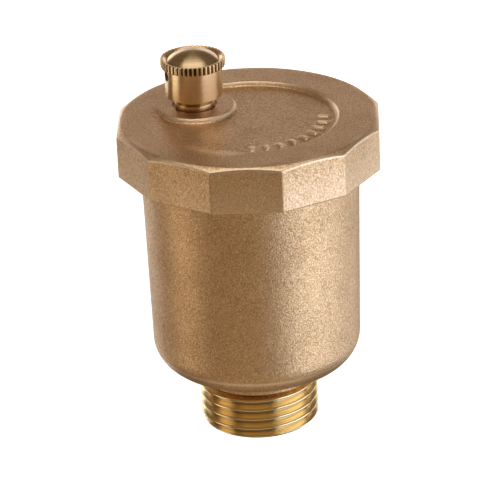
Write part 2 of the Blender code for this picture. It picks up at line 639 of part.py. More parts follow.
# ---------------------------------------------------------------- stem, pad and spring
def make_stem(place):
    radius = STEM_DIAMETER / 2
    nipple = STEM_NIPPLE_DIAMETER / 2
    clip_low = STEM_CLIP_TOP - CLIP_THICKNESS
    profile = [
        (0, FLANGE_TOP + STEM_NIPPLE),
        (nipple, FLANGE_TOP + STEM_NIPPLE),
        (nipple, FLANGE_TOP),
        (STEM_FLANGE_DIAMETER / 2, FLANGE_TOP),
        (STEM_FLANGE_DIAMETER / 2, FLANGE_TOP - STEM_FLANGE),
        (radius, FLANGE_TOP - STEM_FLANGE),
        (radius, STEM_CLIP_TOP + PRESS_GAP),
        (radius - PIN_GROOVE, STEM_CLIP_TOP + PRESS_GAP),
        (radius - PIN_GROOVE, clip_low - PRESS_GAP),
        (radius, clip_low - PRESS_GAP),
        (radius, STEM_LOW),
        (0, STEM_LOW),
    ]
    return turned("valve_stem", profile, steps=PIN_STEPS, closed=False, finish=MACHINED_BRASS, **place)


def make_pad(place):
    low = FLANGE_TOP + SMALL_GAP
    socket = STEM_NIPPLE_DIAMETER / 2 + RUNNING_GAP
    socket_top = FLANGE_TOP + STEM_NIPPLE + RUNNING_GAP
    profile = [(0, PAD_TOP), (PAD_DIAMETER / 2 - PAD_CHAMFER, PAD_TOP), (PAD_DIAMETER / 2, PAD_TOP - PAD_CHAMFER),
               (PAD_DIAMETER / 2, low), (socket, low), (socket, socket_top), (0, socket_top)]
    return turned("valve_pad", profile, steps=PIN_STEPS, closed=False, finish=BLACK_RUBBER, **place)


def make_spring(place):
    """A coil round the stem, between the guide tab and the stem's flange."""
    per_turn = 12
    count = SPRING_TURNS * per_turn
    low = TAB_TOP + SMALL_GAP + SPRING_WIRE / 2
    rise = SPRING_LENGTH - SPRING_WIRE
    curve = bpy.data.curves.new("valve_spring", "CURVE")
    curve.dimensions = "3D"
    curve.bevel_depth = SPRING_WIRE / 2
    curve.bevel_resolution = 2
    curve.use_fill_caps = True
    spline = curve.splines.new("POLY")
    spline.points.add(count)
    for i, point in enumerate(spline.points):
        angle = 2 * pi * i / per_turn
        radius = SPRING_DIAMETER / 2
        point.co = (radius * cos(angle), radius * sin(angle), low + rise * i / count, 1)
    curve.materials.append(principled("valve_spring", *STAINLESS))
    item = bpy.data.objects.new("valve_spring", curve)
    PARTS.objects.link(item)
    item.parent = place["parent"]
    item.location = place["location"]
    return item


# ---------------------------------------------------------------- float
def make_float():
    outer = chamber_low_r() - FLOAT_SIDE_CLEARANCE
    inner = outer - FLOAT_WALL
    corner = outer - FLOAT_CORNER
    inner_corner = FLOAT_CORNER - FLOAT_WALL
    lip_r = inner - SMALL_GAP
    upper = [
        (0, FLOAT_TOP),
        *arc(corner, FLOAT_TOP - FLOAT_CORNER, FLOAT_CORNER, 90, 0, 4),
        (outer, FLOAT_SEAM + SMALL_GAP),
        (inner, FLOAT_SEAM + SMALL_GAP),
        *arc(corner, FLOAT_TOP - FLOAT_CORNER, inner_corner, 0, 90, 3),
        (0, FLOAT_TOP - FLOAT_WALL),
    ]
    lower = [
        (lip_r, FLOAT_SEAM + FLOAT_LIP),
        (lip_r, FLOAT_SEAM),
        (outer, FLOAT_SEAM),
        *arc(corner, FLOAT_LOW + FLOAT_CORNER, FLOAT_CORNER, 0, -90, 4),
        (0, FLOAT_LOW),
    ]
    lower_inside = [
        (0, FLOAT_LOW + FLOAT_WALL),
        *arc(corner, FLOAT_LOW + FLOAT_CORNER, inner_corner, -90, 0, 3),
        (inner, FLOAT_SEAM - FLOAT_WALL),
        (lip_r - FLOAT_WALL, FLOAT_SEAM),
        (lip_r - FLOAT_WALL, FLOAT_SEAM + FLOAT_LIP),
    ]
    turned("float_upper", upper, steps=BODY_STEPS, closed=False, finish=WHITE_PLASTIC)
    shell = lower_inside + lower
    turned("float_lower", shell, steps=BODY_STEPS, closed=False, finish=WHITE_PLASTIC)


def make_clevis(plane):
    """A small foot on the float with two ears for the link pin."""
    low = FLOAT_TOP + SMALL_GAP
    base_top = low + CLEVIS_BASE
    ear_in = CLEVIS_SLOT / 2
    ear_out = ear_in + CLEVIS_EAR
    half = CLEVIS_EAR_WIDTH / 2
    item = cylinder("float_clevis", CLEVIS_BASE_DIAMETER / 2, low, base_top, steps=VALVE_STEPS,
                    finish=WHITE_PLASTIC, parent=plane)
    cross = cross_place(plane, 0, LINK_Z)
    for name, side in (("left", -1), ("right", 1)):
        inner, outer = sorted((side * ear_in, side * ear_out))
        boolean(item, box(f"ear_{name}", (-half, inner, low + CLEVIS_BASE / 2), (half, outer, LINK_Z), parent=plane),
                "UNION")
        boolean(item, cylinder(f"ear_top_{name}", half, inner, outer, **cross), "UNION")
    boolean(item, cylinder("ear_hole", PIN_DIAMETER / 2 + PRESS_GAP, -ear_out - PAST, ear_out + PAST, **cross))
    return item


# ---------------------------------------------------------------- cap
def knurl(item, low, high):
    """Press straight grooves into a turned flange: every second column of its edge moves in."""
    step = 2 * pi / (2 * CAP_KNURLS)
    for vert in item.data.vertices:
        radius = hypot(vert.co.x, vert.co.y)
        column = round(atan2(vert.co.y, vert.co.x) / step)
        if column % 2 and radius > CAP_FLANGE_R - PRESS_GAP and low < vert.co.z < high:
            vert.co.x *= (CAP_FLANGE_R - CAP_KNURL_DEPTH) / radius
            vert.co.y *= (CAP_FLANGE_R - CAP_KNURL_DEPTH) / radius


def make_cap(place):
    rim_low = FLANGE_HIGH - CAP_RIM_SLOPE
    pip_r = CAP_PIP_DIAMETER / 2
    sphere_r = (CAP_DOME_R ** 2 + CAP_DOME_HEIGHT ** 2) / (2 * CAP_DOME_HEIGHT)
    sphere_z = rim_low + CAP_DOME_HEIGHT - sphere_r
    pip_angle = degrees(asin(pip_r / sphere_r))
    dome_angle = degrees(asin(CAP_DOME_R / sphere_r))
    profile = [
        (0, rim_low + CAP_DOME_HEIGHT + CAP_PIP_HEIGHT),
        *arc(0, sphere_z, sphere_r, 90 - pip_angle, 90 - dome_angle, 5),
        (CAP_FLANGE_R - CAP_CHAMFER / 2 - CAP_LIP, FLANGE_HIGH),
        (CAP_FLANGE_R - CAP_CHAMFER / 2, FLANGE_HIGH),
        (CAP_FLANGE_R, FLANGE_HIGH - CAP_CHAMFER / 2),
        (CAP_FLANGE_R, FLANGE_LOW + CAP_CHAMFER / 2),
        (CAP_FLANGE_R - CAP_CHAMFER / 2, FLANGE_LOW),
        (CAP_SKIRT_R, FLANGE_LOW),
        (CAP_SKIRT_R, CAP_LOW + CAP_CHAMFER),
        (CAP_SKIRT_R - CAP_CHAMFER, CAP_LOW),
        (CAP_BORE_R, CAP_LOW),
        (CAP_BORE_R, CAP_CEILING),
        (0, CAP_CEILING),
    ]
    item = turned("vent_cap", profile, steps=2 * CAP_KNURLS, closed=False, finish=MACHINED_BRASS, **place)
    made_mesh(item)
    knurl(item, FLANGE_LOW, FLANGE_HIGH)
    hole_z = FLANGE_LOW - CAP_HOLE_DROP
    turn = CAP_HOLE_ANGLE - VALVE_ANGLE
    hole = cylinder("cap_hole", CAP_HOLE_DIAMETER / 2, CAP_BORE_R / 2, CAP_SKIRT_R + PAST, steps=16,
                    parent=place["parent"], location=(VALVE_OFFSET, 0, hole_z), rotation=(0, pi / 2, turn))
    boolean(item, hole)
    return item


# ---------------------------------------------------------------- the whole vent
def build():
    plane = valve_plane()
    at_nozzle = {"parent": plane, "location": (VALVE_OFFSET, 0, 0)}
    make_body()
    make_lid(plane)
    make_lid_oring()
    make_nozzle(at_nozzle)
    gasket_bore = NOZZLE_TAIL / 2 + SMALL_GAP
    ring("nozzle_gasket", gasket_bore, GASKET_DIAMETER / 2, GASKET_TOP - GASKET_THICKNESS, GASKET_TOP,
         RED_FIBRE, at_nozzle)
    make_bracket(plane)
    make_bracket_nut(at_nozzle)

    clip_bore = PIN_DIAMETER / 2 - PIN_GROOVE + PRESS_GAP
    at_pivot = cross_place(plane, PIVOT_OFFSET, PIVOT_Z)
    pivot_reach = BRACKET_WIDTH / 2
    make_pin("pivot_pin", pivot_reach, at_pivot)
    make_clip("pivot_clip", clip_bore, CLIP_DIAMETER / 2, pivot_reach + SMALL_GAP, at_pivot)
    make_lever(plane)
    make_stem(at_nozzle)
    make_pad(at_nozzle)
    make_clip("stem_clip", STEM_DIAMETER / 2 - PIN_GROOVE + PRESS_GAP, STEM_CLIP_DIAMETER / 2,
              STEM_CLIP_TOP - CLIP_THICKNESS, at_nozzle)
    make_spring(at_nozzle)

    make_float()
    make_clevis(plane)
    at_link = cross_place(plane, 0, LINK_Z)
    link_reach = CLEVIS_SLOT / 2 + CLEVIS_EAR
    make_pin("link_pin", link_reach, at_link)
    make_clip("link_clip", clip_bore, CLIP_DIAMETER / 2, link_reach + SMALL_GAP, at_link)

    make_cap(at_nozzle)
    seal_top = CAP_CEILING - SMALL_GAP
    seal = [(0, seal_top), (CAP_BORE_R - SMALL_GAP, seal_top),
            (CAP_BORE_R - SMALL_GAP, seal_top - CAP_SEAL_THICKNESS), (0, seal_top - CAP_SEAL_THICKNESS)]
    turned("cap_seal", seal, closed=False, finish=BLACK_RUBBER, **at_nozzle)


build()
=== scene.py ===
# %% [markdown]
# # An automatic air vent, dressed for its portrait
#
# The vent is a small brass pot that screws into the top of a heating pipe.  A float inside closes an air
# nozzle when water arrives.  The engineering model is already made and packed, so this script only adds
# looks: finer meshes for the four brass pieces that show, a finish for every piece, a floor and lights.
#
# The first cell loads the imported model.  Nothing in it is moved.  A piece with a finer mesh replaces its
# engineering node, and the others keep their mesh and get a better finish.

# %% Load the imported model
import json
from math import acos, asin, atan2, cos, hypot, pi, radians, sin, sqrt, tan

import bmesh
import bpy
from mathutils import Matrix, Vector
from mathutils.geometry import delaunay_2d_cdt


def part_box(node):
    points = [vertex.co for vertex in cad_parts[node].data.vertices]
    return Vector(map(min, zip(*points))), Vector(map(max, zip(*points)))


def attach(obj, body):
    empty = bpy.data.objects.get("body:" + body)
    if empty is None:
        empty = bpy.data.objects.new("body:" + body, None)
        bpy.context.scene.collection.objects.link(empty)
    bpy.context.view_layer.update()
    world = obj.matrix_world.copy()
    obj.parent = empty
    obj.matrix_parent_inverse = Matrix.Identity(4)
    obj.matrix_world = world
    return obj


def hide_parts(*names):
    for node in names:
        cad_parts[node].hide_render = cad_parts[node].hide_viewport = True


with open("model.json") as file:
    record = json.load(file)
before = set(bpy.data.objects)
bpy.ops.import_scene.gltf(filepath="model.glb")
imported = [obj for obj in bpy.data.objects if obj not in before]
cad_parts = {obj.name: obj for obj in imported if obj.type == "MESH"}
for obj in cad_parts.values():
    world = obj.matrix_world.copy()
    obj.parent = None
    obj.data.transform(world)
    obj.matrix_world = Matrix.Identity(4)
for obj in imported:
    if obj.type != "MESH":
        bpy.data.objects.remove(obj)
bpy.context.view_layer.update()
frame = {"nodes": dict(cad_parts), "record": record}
scene = bpy.context.scene

# %% [markdown]
# ## The camera
#
# A long lens from far away keeps the sides of the vent almost parallel.  The camera looks down about 25
# degrees and leans a little.  Its place is worked out from the point it looks at, the distance and the
# two angles, because those are the numbers one thinks in.

# %% Place the camera
MM = 0.001
LOOK_AT = Vector((-0.62, 0.0, 32.15)) * MM
CAMERA_DISTANCE = 571.3 * MM
CAMERA_HEIGHT_ANGLE = radians(25.23)
CAMERA_LEAN = radians(-2.39)
LENS = 234.3
SENSOR_WIDTH = 36


def place_camera():
    back = Vector((0, -cos(CAMERA_HEIGHT_ANGLE), sin(CAMERA_HEIGHT_ANGLE)))
    level = Vector((1, 0, 0))
    upward = back.cross(level)
    right = level * cos(CAMERA_LEAN) + upward * sin(CAMERA_LEAN)
    up = back.cross(right)
    camera = bpy.data.cameras.new("studio_camera")
    camera.lens = LENS
    camera.sensor_width = SENSOR_WIDTH
    camera.clip_start = 10 * MM
    item = bpy.data.objects.new("studio_camera", camera)
    item.matrix_world = Matrix.Translation(LOOK_AT + back * CAMERA_DISTANCE) @ Matrix(
        (right, up, back)).transposed().to_4x4()
    scene.collection.objects.link(item)
    scene.camera = item
    return item


camera = place_camera()
print("camera at", [round(v / MM) for v in camera.location], "mm")

# %% [markdown]
# ## Where things are
#
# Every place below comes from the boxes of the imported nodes.  The lid's box gives its height and its
# centre line, the cap's box gives the nozzle's axis, and so on.  What a box cannot tell, such as the
# pitch of the thread, is written once here in millimetres.

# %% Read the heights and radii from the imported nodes
body_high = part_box("body")[1]
lid_low, lid_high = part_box("lid")
cap_low, cap_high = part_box("vent_cap")
nozzle_low, nozzle_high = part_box("valve_nozzle")
gasket_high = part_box("nozzle_gasket")[1]
VALVE = Vector(((nozzle_low.x + nozzle_high.x) / 2, (nozzle_low.y + nozzle_high.y) / 2, 0))
VALVE_AWAY = VALVE.normalized()
CEILING = gasket_high.z + 0.2 * MM
SHOULDER = lid_low.z - 0.3 * MM
BODY_R = body_high.x
print("lid", round(lid_low.z / MM, 2), "to", round(lid_high.z / MM, 2), "mm; nozzle",
      round(VALVE.length / MM, 2), "mm from the middle")

# %% [markdown]
# ## Shader maths as plain Python
#
# A finish is a small sum: so much grain, so much tarnish, a little brighter where the casting is worn.
# Blender wants such a sum as a web of Math nodes.  The class below wraps a socket, so that `a * 0.5 + b`
# adds the nodes itself.  Any other node comes from `Finish.node`, which takes the node's type, its
# settings and the values or links of its sockets.

# %% The socket wrapper and the finish builder
class Value:
    """A number that varies over a surface."""

    def __init__(self, finish, socket):
        self.finish = finish
        self.socket = socket

    def _math(self, operation, first, second):
        return self.finish.node("ShaderNodeMath", {"operation": operation}, {0: first, 1: second})

    def __add__(self, other):
        return self._math("ADD", self, other)

    __radd__ = __add__

    def __sub__(self, other):
        return self._math("SUBTRACT", self, other)

    def __rsub__(self, other):
        return self._math("SUBTRACT", other, self)

    def __mul__(self, other):
        return self._math("MULTIPLY", self, other)

    __rmul__ = __mul__


class Finish:
    """A material, built node by node round one Principled shader."""

    def __init__(self, name, colour, roughness, metallic=0.0, **constants):
        self.material = bpy.data.materials.new(name)
        self.material.use_nodes = True
        self.tree = self.material.node_tree
        self.shader = self.tree.nodes["Principled BSDF"]
        self.set("Base Color", (*colour, 1.0))
        self.set("Roughness", roughness)
        self.set("Metallic", metallic)
        for socket, value in constants.items():
            self.set(socket.replace("_", " "), value)

    def set(self, socket, value):
        target = self.shader.inputs[socket]
        if isinstance(value, Value):
            self.tree.links.new(value.socket, target)
        else:
            target.default_value = value

    def node(self, kind, settings=None, values=None, output=0):
        made = self.tree.nodes.new(kind)
        for key, value in (settings or {}).items():
            if key == "stops":
                ramp = made.color_ramp.elements
                while len(ramp) < len(value):
                    ramp.new(0.5)
                for element, (position, level) in zip(ramp, value):
                    element.position = position
                    element.color = (level, level, level, 1.0)
            else:
                setattr(made, key, value)
        for key, value in (values or {}).items():
            if isinstance(value, Value):
                self.tree.links.new(value.socket, made.inputs[key])
            else:
                made.inputs[key].default_value = value
        return Value(self, made.outputs[output])

    def where(self):
        """Object coordinates, which are the row frame's metres."""
        return self.node("ShaderNodeTexCoord", output="Object")

    def noise(self, size, detail=2.0, roughness=0.5, distortion=0.0):
        """Soft noise whose lumps are about size metres across."""
        return self.node("ShaderNodeTexNoise", {}, {
            "Vector": self.where(), "Scale": 1.0 / size, "Detail": detail,
            "Roughness": roughness, "Distortion": distortion})

    def ramp(self, value, stops):
        return self.node("ShaderNodeValToRGB", {"stops": stops}, {0: value})

    def mix(self, share, first, second):
        colours = [(*c, 1.0) if isinstance(c, tuple) else c for c in (first, second)]
        return self.node("ShaderNodeMix", {"data_type": "RGBA"}, {0: share, 6: colours[0], 7: colours[1]},
                         output=2)

    def attribute(self, name):
        return self.node("ShaderNodeAttribute", {"attribute_name": name}, output="Fac")

    def bump(self, height, distance, strength=1.0):
        normal = self.node("ShaderNodeBump", {}, {"Height": height, "Distance": distance,
                                                  "Strength": strength})
        self.set("Normal", normal)


print("shader helpers ready")

# %% [markdown]
# ## The finish of the casting
#
# The body and the lid are sand-cast brass that was blasted clean and then left alone.  Blasting leaves
# a grain of tiny craters about a quarter of a millimetre across, which sparkle, and handling leaves faint
# brown patches of tarnish.  One noise at each of these sizes, mixed by plain sums, gives these.  A number
# stored on the mesh adds a pale colour along edges, lips and bars: partly rubbed metal and partly a
# painted highlight for the light that the rounded edges catch, and a painted glow in the dish.

# %% Cast brass
GRAIN = 0.28 * MM
BRASS = (0.64, 0.385, 0.185)
BRASS_PALE = (0.96, 0.72, 0.47)
BRASS_BROWN = (0.34, 0.18, 0.065)


def cast_brass():
    finish = Finish("cast_brass", BRASS, 0.5, 1.0)
    grain = finish.noise(GRAIN, detail=2.0, roughness=0.55)
    pits = finish.noise(GRAIN * 2.7, detail=2.0, roughness=0.6)
    patches = finish.noise(9 * MM, detail=4.0, roughness=0.6, distortion=0.4)
    wear = finish.attribute("wear")
    bright = finish.ramp(grain, [(0.50, 0.0), (0.70, 1.0)])
    dark = finish.ramp(grain * 0.7 + pits * 0.3, [(0.34, 1.0), (0.50, 0.0)])
    tarnish = finish.ramp(patches, [(0.40, 0.0), (0.72, 1.0)])
    colour = finish.mix(tarnish * 0.30, BRASS, BRASS_BROWN)
    colour = finish.mix(dark * 0.60, colour, BRASS_BROWN)
    colour = finish.mix(bright * 0.55, colour, BRASS_PALE)
    # Painted highlight: pale colour along edges, lips and bars, partly rubbed metal, and a painted glow in
    # the dish.
    colour = finish.mix(wear * 0.8, colour, BRASS_PALE)
    finish.set("Base Color", colour)
    finish.set("Roughness", 0.42 - 0.06 * bright + 0.10 * dark + 0.05 * tarnish - 0.08 * wear)
    finish.bump(grain * 0.7 + pits * 0.4, 0.08 * MM)
    return finish.material


CAST = cast_brass()
print("made", CAST.name)

# %% [markdown]
# ## The finish of turned brass
#
# The thread, the nozzle and the cap came off a lathe, and the tool leaves rings round the axis.  Broad
# rings vary the colour and the roughness, and much finer ones make a shallow bump.  Both are a noise that
# changes only along the axis and the radius.  The shader's own anisotropy stretches each highlight across
# the rings, which gives the upright bands of a turned cylinder and the fan of a turned dome.

# %% Turned brass
TURNED = (0.90, 0.68, 0.36)
TURNED_DEEP = (0.62, 0.40, 0.14)
# Dark brown for painted shade in recesses and on the dome.
SHADE_BROWN = (0.09, 0.05, 0.02)
RING = 0.22 * MM
FINE_RING = 0.07 * MM


def turned_brass(name, colour, deep, roughness, centre, groove=0.004 * MM, stretch=0.5):
    finish = Finish(name, colour, roughness, 1.0, Anisotropic=stretch, Anisotropic_Rotation=0.25)
    place = finish.node("ShaderNodeSeparateXYZ", {}, {0: finish.where()}, output=2)
    offset = finish.node("ShaderNodeVectorMath", {"operation": "SUBTRACT"},
                         {0: finish.where(), 1: (centre[0], centre[1], 0.0)})
    flat = finish.node("ShaderNodeVectorMath", {"operation": "MULTIPLY"}, {0: offset, 1: (1.0, 1.0, 0.0)})
    radius = finish.node("ShaderNodeVectorMath", {"operation": "LENGTH"}, {0: flat}, output=1)
    along = radius * 1.37 + place
    rings, grooves = (finish.node("ShaderNodeTexNoise", {"noise_dimensions": "1D"},
                                  {"W": along, "Scale": 1.0 / pitch, "Detail": 3.0, "Roughness": 0.7})
                      for pitch in (RING, FINE_RING))
    smudge = finish.noise(2.4 * MM, detail=3.0)
    mixed = finish.mix(finish.ramp(rings, [(0.3, 0.0), (0.7, 1.0)]) * 0.55, colour, deep)
    # Painted shade: a stored number darkens the colour in recesses and on the dome.
    finish.set("Base Color", finish.mix(finish.attribute("soil"), mixed, SHADE_BROWN))
    finish.set("Roughness", roughness - 0.05 + 0.10 * rings + 0.06 * smudge)
    finish.bump(grooves, groove)
    return finish.material


VALVE_TONE = (0.96, 0.70, 0.40)
VALVE_DEEP = (0.72, 0.42, 0.16)
THREAD_BRASS = turned_brass("thread_brass", TURNED, TURNED_DEEP, 0.20, (0, 0), stretch=0.3)
VALVE_BRASS = turned_brass("valve_brass", VALVE_TONE, VALVE_DEEP, 0.22, VALVE, 0.010 * MM, 0.85)
print("made", THREAD_BRASS.name, "and", VALVE_BRASS.name)

# %% [markdown]
# ## Drawing outlines
#
# Most of this vent is turned or follows a turned outline, so a piece starts as a short list of corners
# in millimetres, each with the radius that a file or a casting would leave on it.  `rounded` swaps each
# corner for an arc.  `skin` joins rows of points by quads, `joined` puts several meshes into one, and
# `solid` cleans a mesh, shades it and makes it a piece.

# %% Outline and mesh helpers
def rounded(corners, steps=4):
    """Replace corners (r, z, radius) of an open outline by arcs.  A radius of zero keeps the corner."""
    points = []
    for i, (x, z, radius) in enumerate(corners):
        here = Vector((x, z))
        if radius == 0 or i in (0, len(corners) - 1):
            points.append(here)
            continue
        before = (Vector(corners[i - 1][:2]) - here).normalized()
        after = (Vector(corners[i + 1][:2]) - here).normalized()
        half = before.angle(after) / 2
        reach = radius / tan(half)
        centre = here + (before + after).normalized() * radius / sin(half)
        start = here + before * reach - centre
        end = here + after * reach - centre
        turn = atan2(start.x * end.y - start.y * end.x, start.dot(end))
        for k in range(steps + 1):
            angle = turn * k / steps
            spin = Matrix.Rotation(angle, 2)
            points.append(centre + spin @ start)
    return [(p.x * MM, p.y * MM) for p in points]


def with_support(points, gap=0.12 * MM, least=0.6 * MM):
    """Add a point close to each end of every long straight run, so that flats shade flat."""
    result = [points[0]]
    for first, second in zip(points, points[1:]):
        length = hypot(second[0] - first[0], second[1] - first[1])
        if length > least:
            for share in (gap / length, 1 - gap / length):
                result.append(tuple(a + (b - a) * share for a, b in zip(first, second)))
        result.append(second)
    return result


def solid(name, verts, faces, materials, body, slot, stands_for):
    """Make a piece from points and faces, close it, shade it and let it ride on its body."""
    mesh = bpy.data.meshes.new(name)
    mesh.from_pydata([tuple(v) for v in verts], [], faces)
    bm = bmesh.new()
    bm.from_mesh(mesh)
    bmesh.ops.remove_doubles(bm, verts=bm.verts, dist=0.002 * MM)
    bmesh.ops.dissolve_degenerate(bm, edges=bm.edges, dist=0.001 * MM)
    bmesh.ops.recalc_face_normals(bm, faces=bm.faces)
    bm.to_mesh(mesh)
    open_edges = sum(not edge.is_manifold for edge in bm.edges)
    bm.free()
    mesh.shade_smooth()
    for material in materials:
        mesh.materials.append(material)
    item = bpy.data.objects.new(name, mesh)
    scene.collection.objects.link(item)
    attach(item, body)
    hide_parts(stands_for)
    print(f"{name}: {len(mesh.polygons)} faces, {open_edges} open edges")
    return item


def skin(rows):
    """Quads between rows of points that each run once round the axis."""
    count = len(rows[0])
    faces = []
    for j in range(len(rows) - 1):
        here, below = j * count, (j + 1) * count
        for i in range(count):
            side = (i + 1) % count
            faces.append((here + i, below + i, below + side, here + side))
    return [point for row in rows for point in row], faces


def joined(*pieces):
    """Put several lists of points and faces into one."""
    points, faces = [], []
    for some_points, some_faces in pieces:
        faces += [tuple(k + len(points) for k in face) for face in some_faces]
        points += some_points
    return points, faces


def lathe_rows(profile, columns, centre=(0.0, 0.0)):
    """Turn an outline round an upright axis, one row of points for each point of the outline."""
    angles = [2 * pi * i / columns for i in range(columns)]
    return [[(centre[0] + r * cos(angle), centre[1] + r * sin(angle), z) for angle in angles]
            for r, z in profile]


print("helpers ready")

# %% [markdown]
# ## The body and its thread
#
# The body is one casting.  Its outside and inside are turned outlines, but a screw thread is not: it climbs
# by one pitch in each turn.  A grid that follows the thread solves this.  Every row of the grid climbs with
# the helix, so a crest is one clean line of edges all the way round, and where the grid comes back to its
# first column it joins the row that is one pitch higher.  Rows that would pass the end are held at the end.
#
# The thread is the rounded 55 degree form of a pipe thread.

# %% Thread sizes and form
PITCH = 1.814
THREAD_R = 10.4775
THREAD_DEEP = 1.162
THREAD_ROUND = 0.249
THREAD_TOP = 8.3
THREAD_FLANK = radians(27.5)
END_CHAMFER = 0.65
RUN_OUT = 0.5
RUN_OUT_SLOPE = 1.8
COLLAR_Z = 8.8
RELIEF_R = THREAD_R - THREAD_DEEP - 0.1
FIRST_CREST = 0.26
COLUMNS = 180


def thread_radius(along):
    """Radius of the rounded 55 degree form at a distance along the axis from a crest."""
    reach = THREAD_ROUND * cos(THREAD_FLANK)
    away = abs((along + PITCH / 2) % PITCH - PITCH / 2)
    if away < reach:
        return THREAD_R - THREAD_ROUND + sqrt(THREAD_ROUND ** 2 - away ** 2)
    if away > PITCH / 2 - reach:
        return THREAD_R - THREAD_DEEP + THREAD_ROUND - sqrt(THREAD_ROUND ** 2 - (PITCH / 2 - away) ** 2)
    drop = (away - reach) / tan(THREAD_FLANK)
    return THREAD_R - THREAD_ROUND * (1 - sin(THREAD_FLANK)) - drop


def thread_limit(z):
    """Radius that the end chamfer and the run-out under the collar leave."""
    start = THREAD_R - max(0.0, END_CHAMFER - z)
    finish = THREAD_R - max(0.0, (z - THREAD_TOP + RUN_OUT) * RUN_OUT_SLOPE)
    return max(RELIEF_R, min(start, finish))


steps_per_pitch = [0, 0.10, 0.18, 0.26, 0.40, 0.55, 0.66, 0.76, 0.84]
half = PITCH / 2
FORM = steps_per_pitch + [half] + [PITCH - t for t in reversed(steps_per_pitch[1:])]
print(len(FORM), "rows a pitch; radius at crest, flank and root:",
      [round(thread_radius(t), 2) for t in (0, 0.45, half)])


# %% Skin the thread
def thread_grid(columns):
    """Points and faces of the threaded length, from the end face to the relief's top."""
    offsets = [k * PITCH + t for k in range(-2, 6) for t in FORM]
    count = len(offsets)
    points = []
    for i in range(columns):
        angle = 2 * pi * i / columns
        climb = PITCH * (angle + pi / 2) / (2 * pi) + FIRST_CREST
        for along in offsets:
            z = along + climb
            held = min(max(z, 0.0), COLLAR_Z)
            r = min(thread_radius(held - climb), thread_limit(held))
            points.append((r * cos(angle) * MM, r * sin(angle) * MM, held * MM))
    faces = []
    for i in range(columns):
        here, side = i * count, (i + 1) % columns * count
        climbed = len(FORM) if side == 0 else 0
        for j in range(count - 1 - climbed):
            across = side + j + climbed
            faces.append((here + j, across, across + 1, here + j + 1))
    return points, faces


thread_points, thread_faces = thread_grid(COLUMNS)
print(len(thread_faces), "faces in the threaded length")

# %% [markdown]
# ## The body above the thread
#
# From the thread's relief upward the body is a turned outline: the collar, the big rounded corner at the
# bottom, the slightly tapered side that let the pattern leave the sand, and the rim that the lid screws
# over.  The outline then goes down the chamber and the inlet bore, back to the end face.  Its first and
# last points lie on the thread grid's two ends, so welding close points closes the casting.

# %% Body outline
RIM_TOP_Z = body_high.z / MM
SHOULDER_Z = SHOULDER / MM
SIDE_R = BODY_R / MM
UNDERSIDE_Z = 11.5
COLLAR_LOW_R = 10.80
COLLAR_HIGH_R = 10.86
BOTTOM_CORNER = 5.2
DRAFT = tan(radians(1.12))
RIM_STEP = 0.75
CHAMBER_WALL = 1.7
FLOOR_Z = 13.7
BODY_WALL = 2.4
BORE_R = 7.5


def side_radius(z):
    return SIDE_R - (SHOULDER_Z - z) * DRAFT


rim_r = SIDE_R - RIM_STEP
chamber_r = rim_r - CHAMBER_WALL
body_outline = rounded([
    (RELIEF_R, COLLAR_Z, 0),
    (COLLAR_LOW_R, COLLAR_Z, 0.35),
    (COLLAR_HIGH_R, UNDERSIDE_Z, 0.25),
    (side_radius(UNDERSIDE_Z), UNDERSIDE_Z, BOTTOM_CORNER),
    (SIDE_R, SHOULDER_Z, 0.3),
    (rim_r, SHOULDER_Z, 0.1),
    (rim_r, RIM_TOP_Z, 0.3),
    (chamber_r, RIM_TOP_Z, 0.2),
    (chamber_r, SHOULDER_Z, 0.3),
    (side_radius(FLOOR_Z) - BODY_WALL, FLOOR_Z, 3.0),
    (BORE_R, FLOOR_Z, 0.5),
    (BORE_R, 0.0, 0.4),
    (THREAD_R - END_CHAMFER, 0.0, 0),
], steps=12)


def divided(outline, longest):
    """Split the long straight runs of an outline, so that the cast side can be a little uneven."""
    result = [outline[0]]
    for first, second in zip(outline, outline[1:]):
        parts = max(1, int(hypot(second[0] - first[0], second[1] - first[1]) / longest))
        for k in range(1, parts + 1):
            result.append(tuple(a + (b - a) * k / parts for a, b in zip(first, second)))
    return result


body_outline = divided(with_support(body_outline), 1.2 * MM)
print(len(body_outline), "points in the body's outline")

# %% Make the body
UNEVEN_FROM = 13 * MM
UNEVEN_TO = 48 * MM
UNEVEN_FADE = 6 * MM


def uneven(point, depth=0.035 * MM):
    """Move a point of the cast side in or out a little, as a sand mould's wall does."""
    x, y, z = point
    swell = sin(x * 310 + 1.1) * cos(y * 270 - 0.4) + 0.6 * sin(z * 420 + x * 160) * cos(y * 390 + z * 130)
    from_ends = (z - UNEVEN_FROM) / UNEVEN_FADE, (UNEVEN_TO - z) / UNEVEN_FADE
    share = min(1.0, max(0.0, from_ends[0])) * min(1.0, max(0.0, from_ends[1]))
    scale = 1 - depth * share * (0.5 + 0.3 * swell) / hypot(x, y)
    return (x * scale, y * scale, z)


body_rows = lathe_rows(body_outline, COLUMNS)
rows_in_column = len(thread_points) // COLUMNS
body_rows[-1] = [thread_points[i * rows_in_column] for i in range(COLUMNS)]
body_points, body_faces = skin(body_rows)
casting = ([uneven(point) for point in body_points], body_faces)
vent_body = solid("cast_body", *joined(casting, (thread_points, thread_faces)), [CAST, THREAD_BRASS],
                  "housing", "cast_brass", "body")
for face in vent_body.data.polygons:
    x, y, z = face.center
    in_bore = hypot(x, y) < (BORE_R + 0.3) * MM and z < 13 * MM
    face.material_index = int(z < (COLLAR_Z - 0.05) * MM or in_bore)
print("machined faces:", sum(face.material_index for face in vent_body.data.polygons))

# %% [markdown]
# ## The lid
#
# The lid is a twelve-sided casting with a chamfered top, a shallow dish, a round pad for the nozzle and a
# row of small raised bars.  Its corners are soft, so a face must not meet its neighbour on one hard edge.
# Every column of the side has the same outline of side, slope and top, and only the column's radius
# changes: it follows a twelve-sided shape with small arcs at the corners.  The slope is part of a cone, so
# it cuts each flat in a shallow curve all by itself.

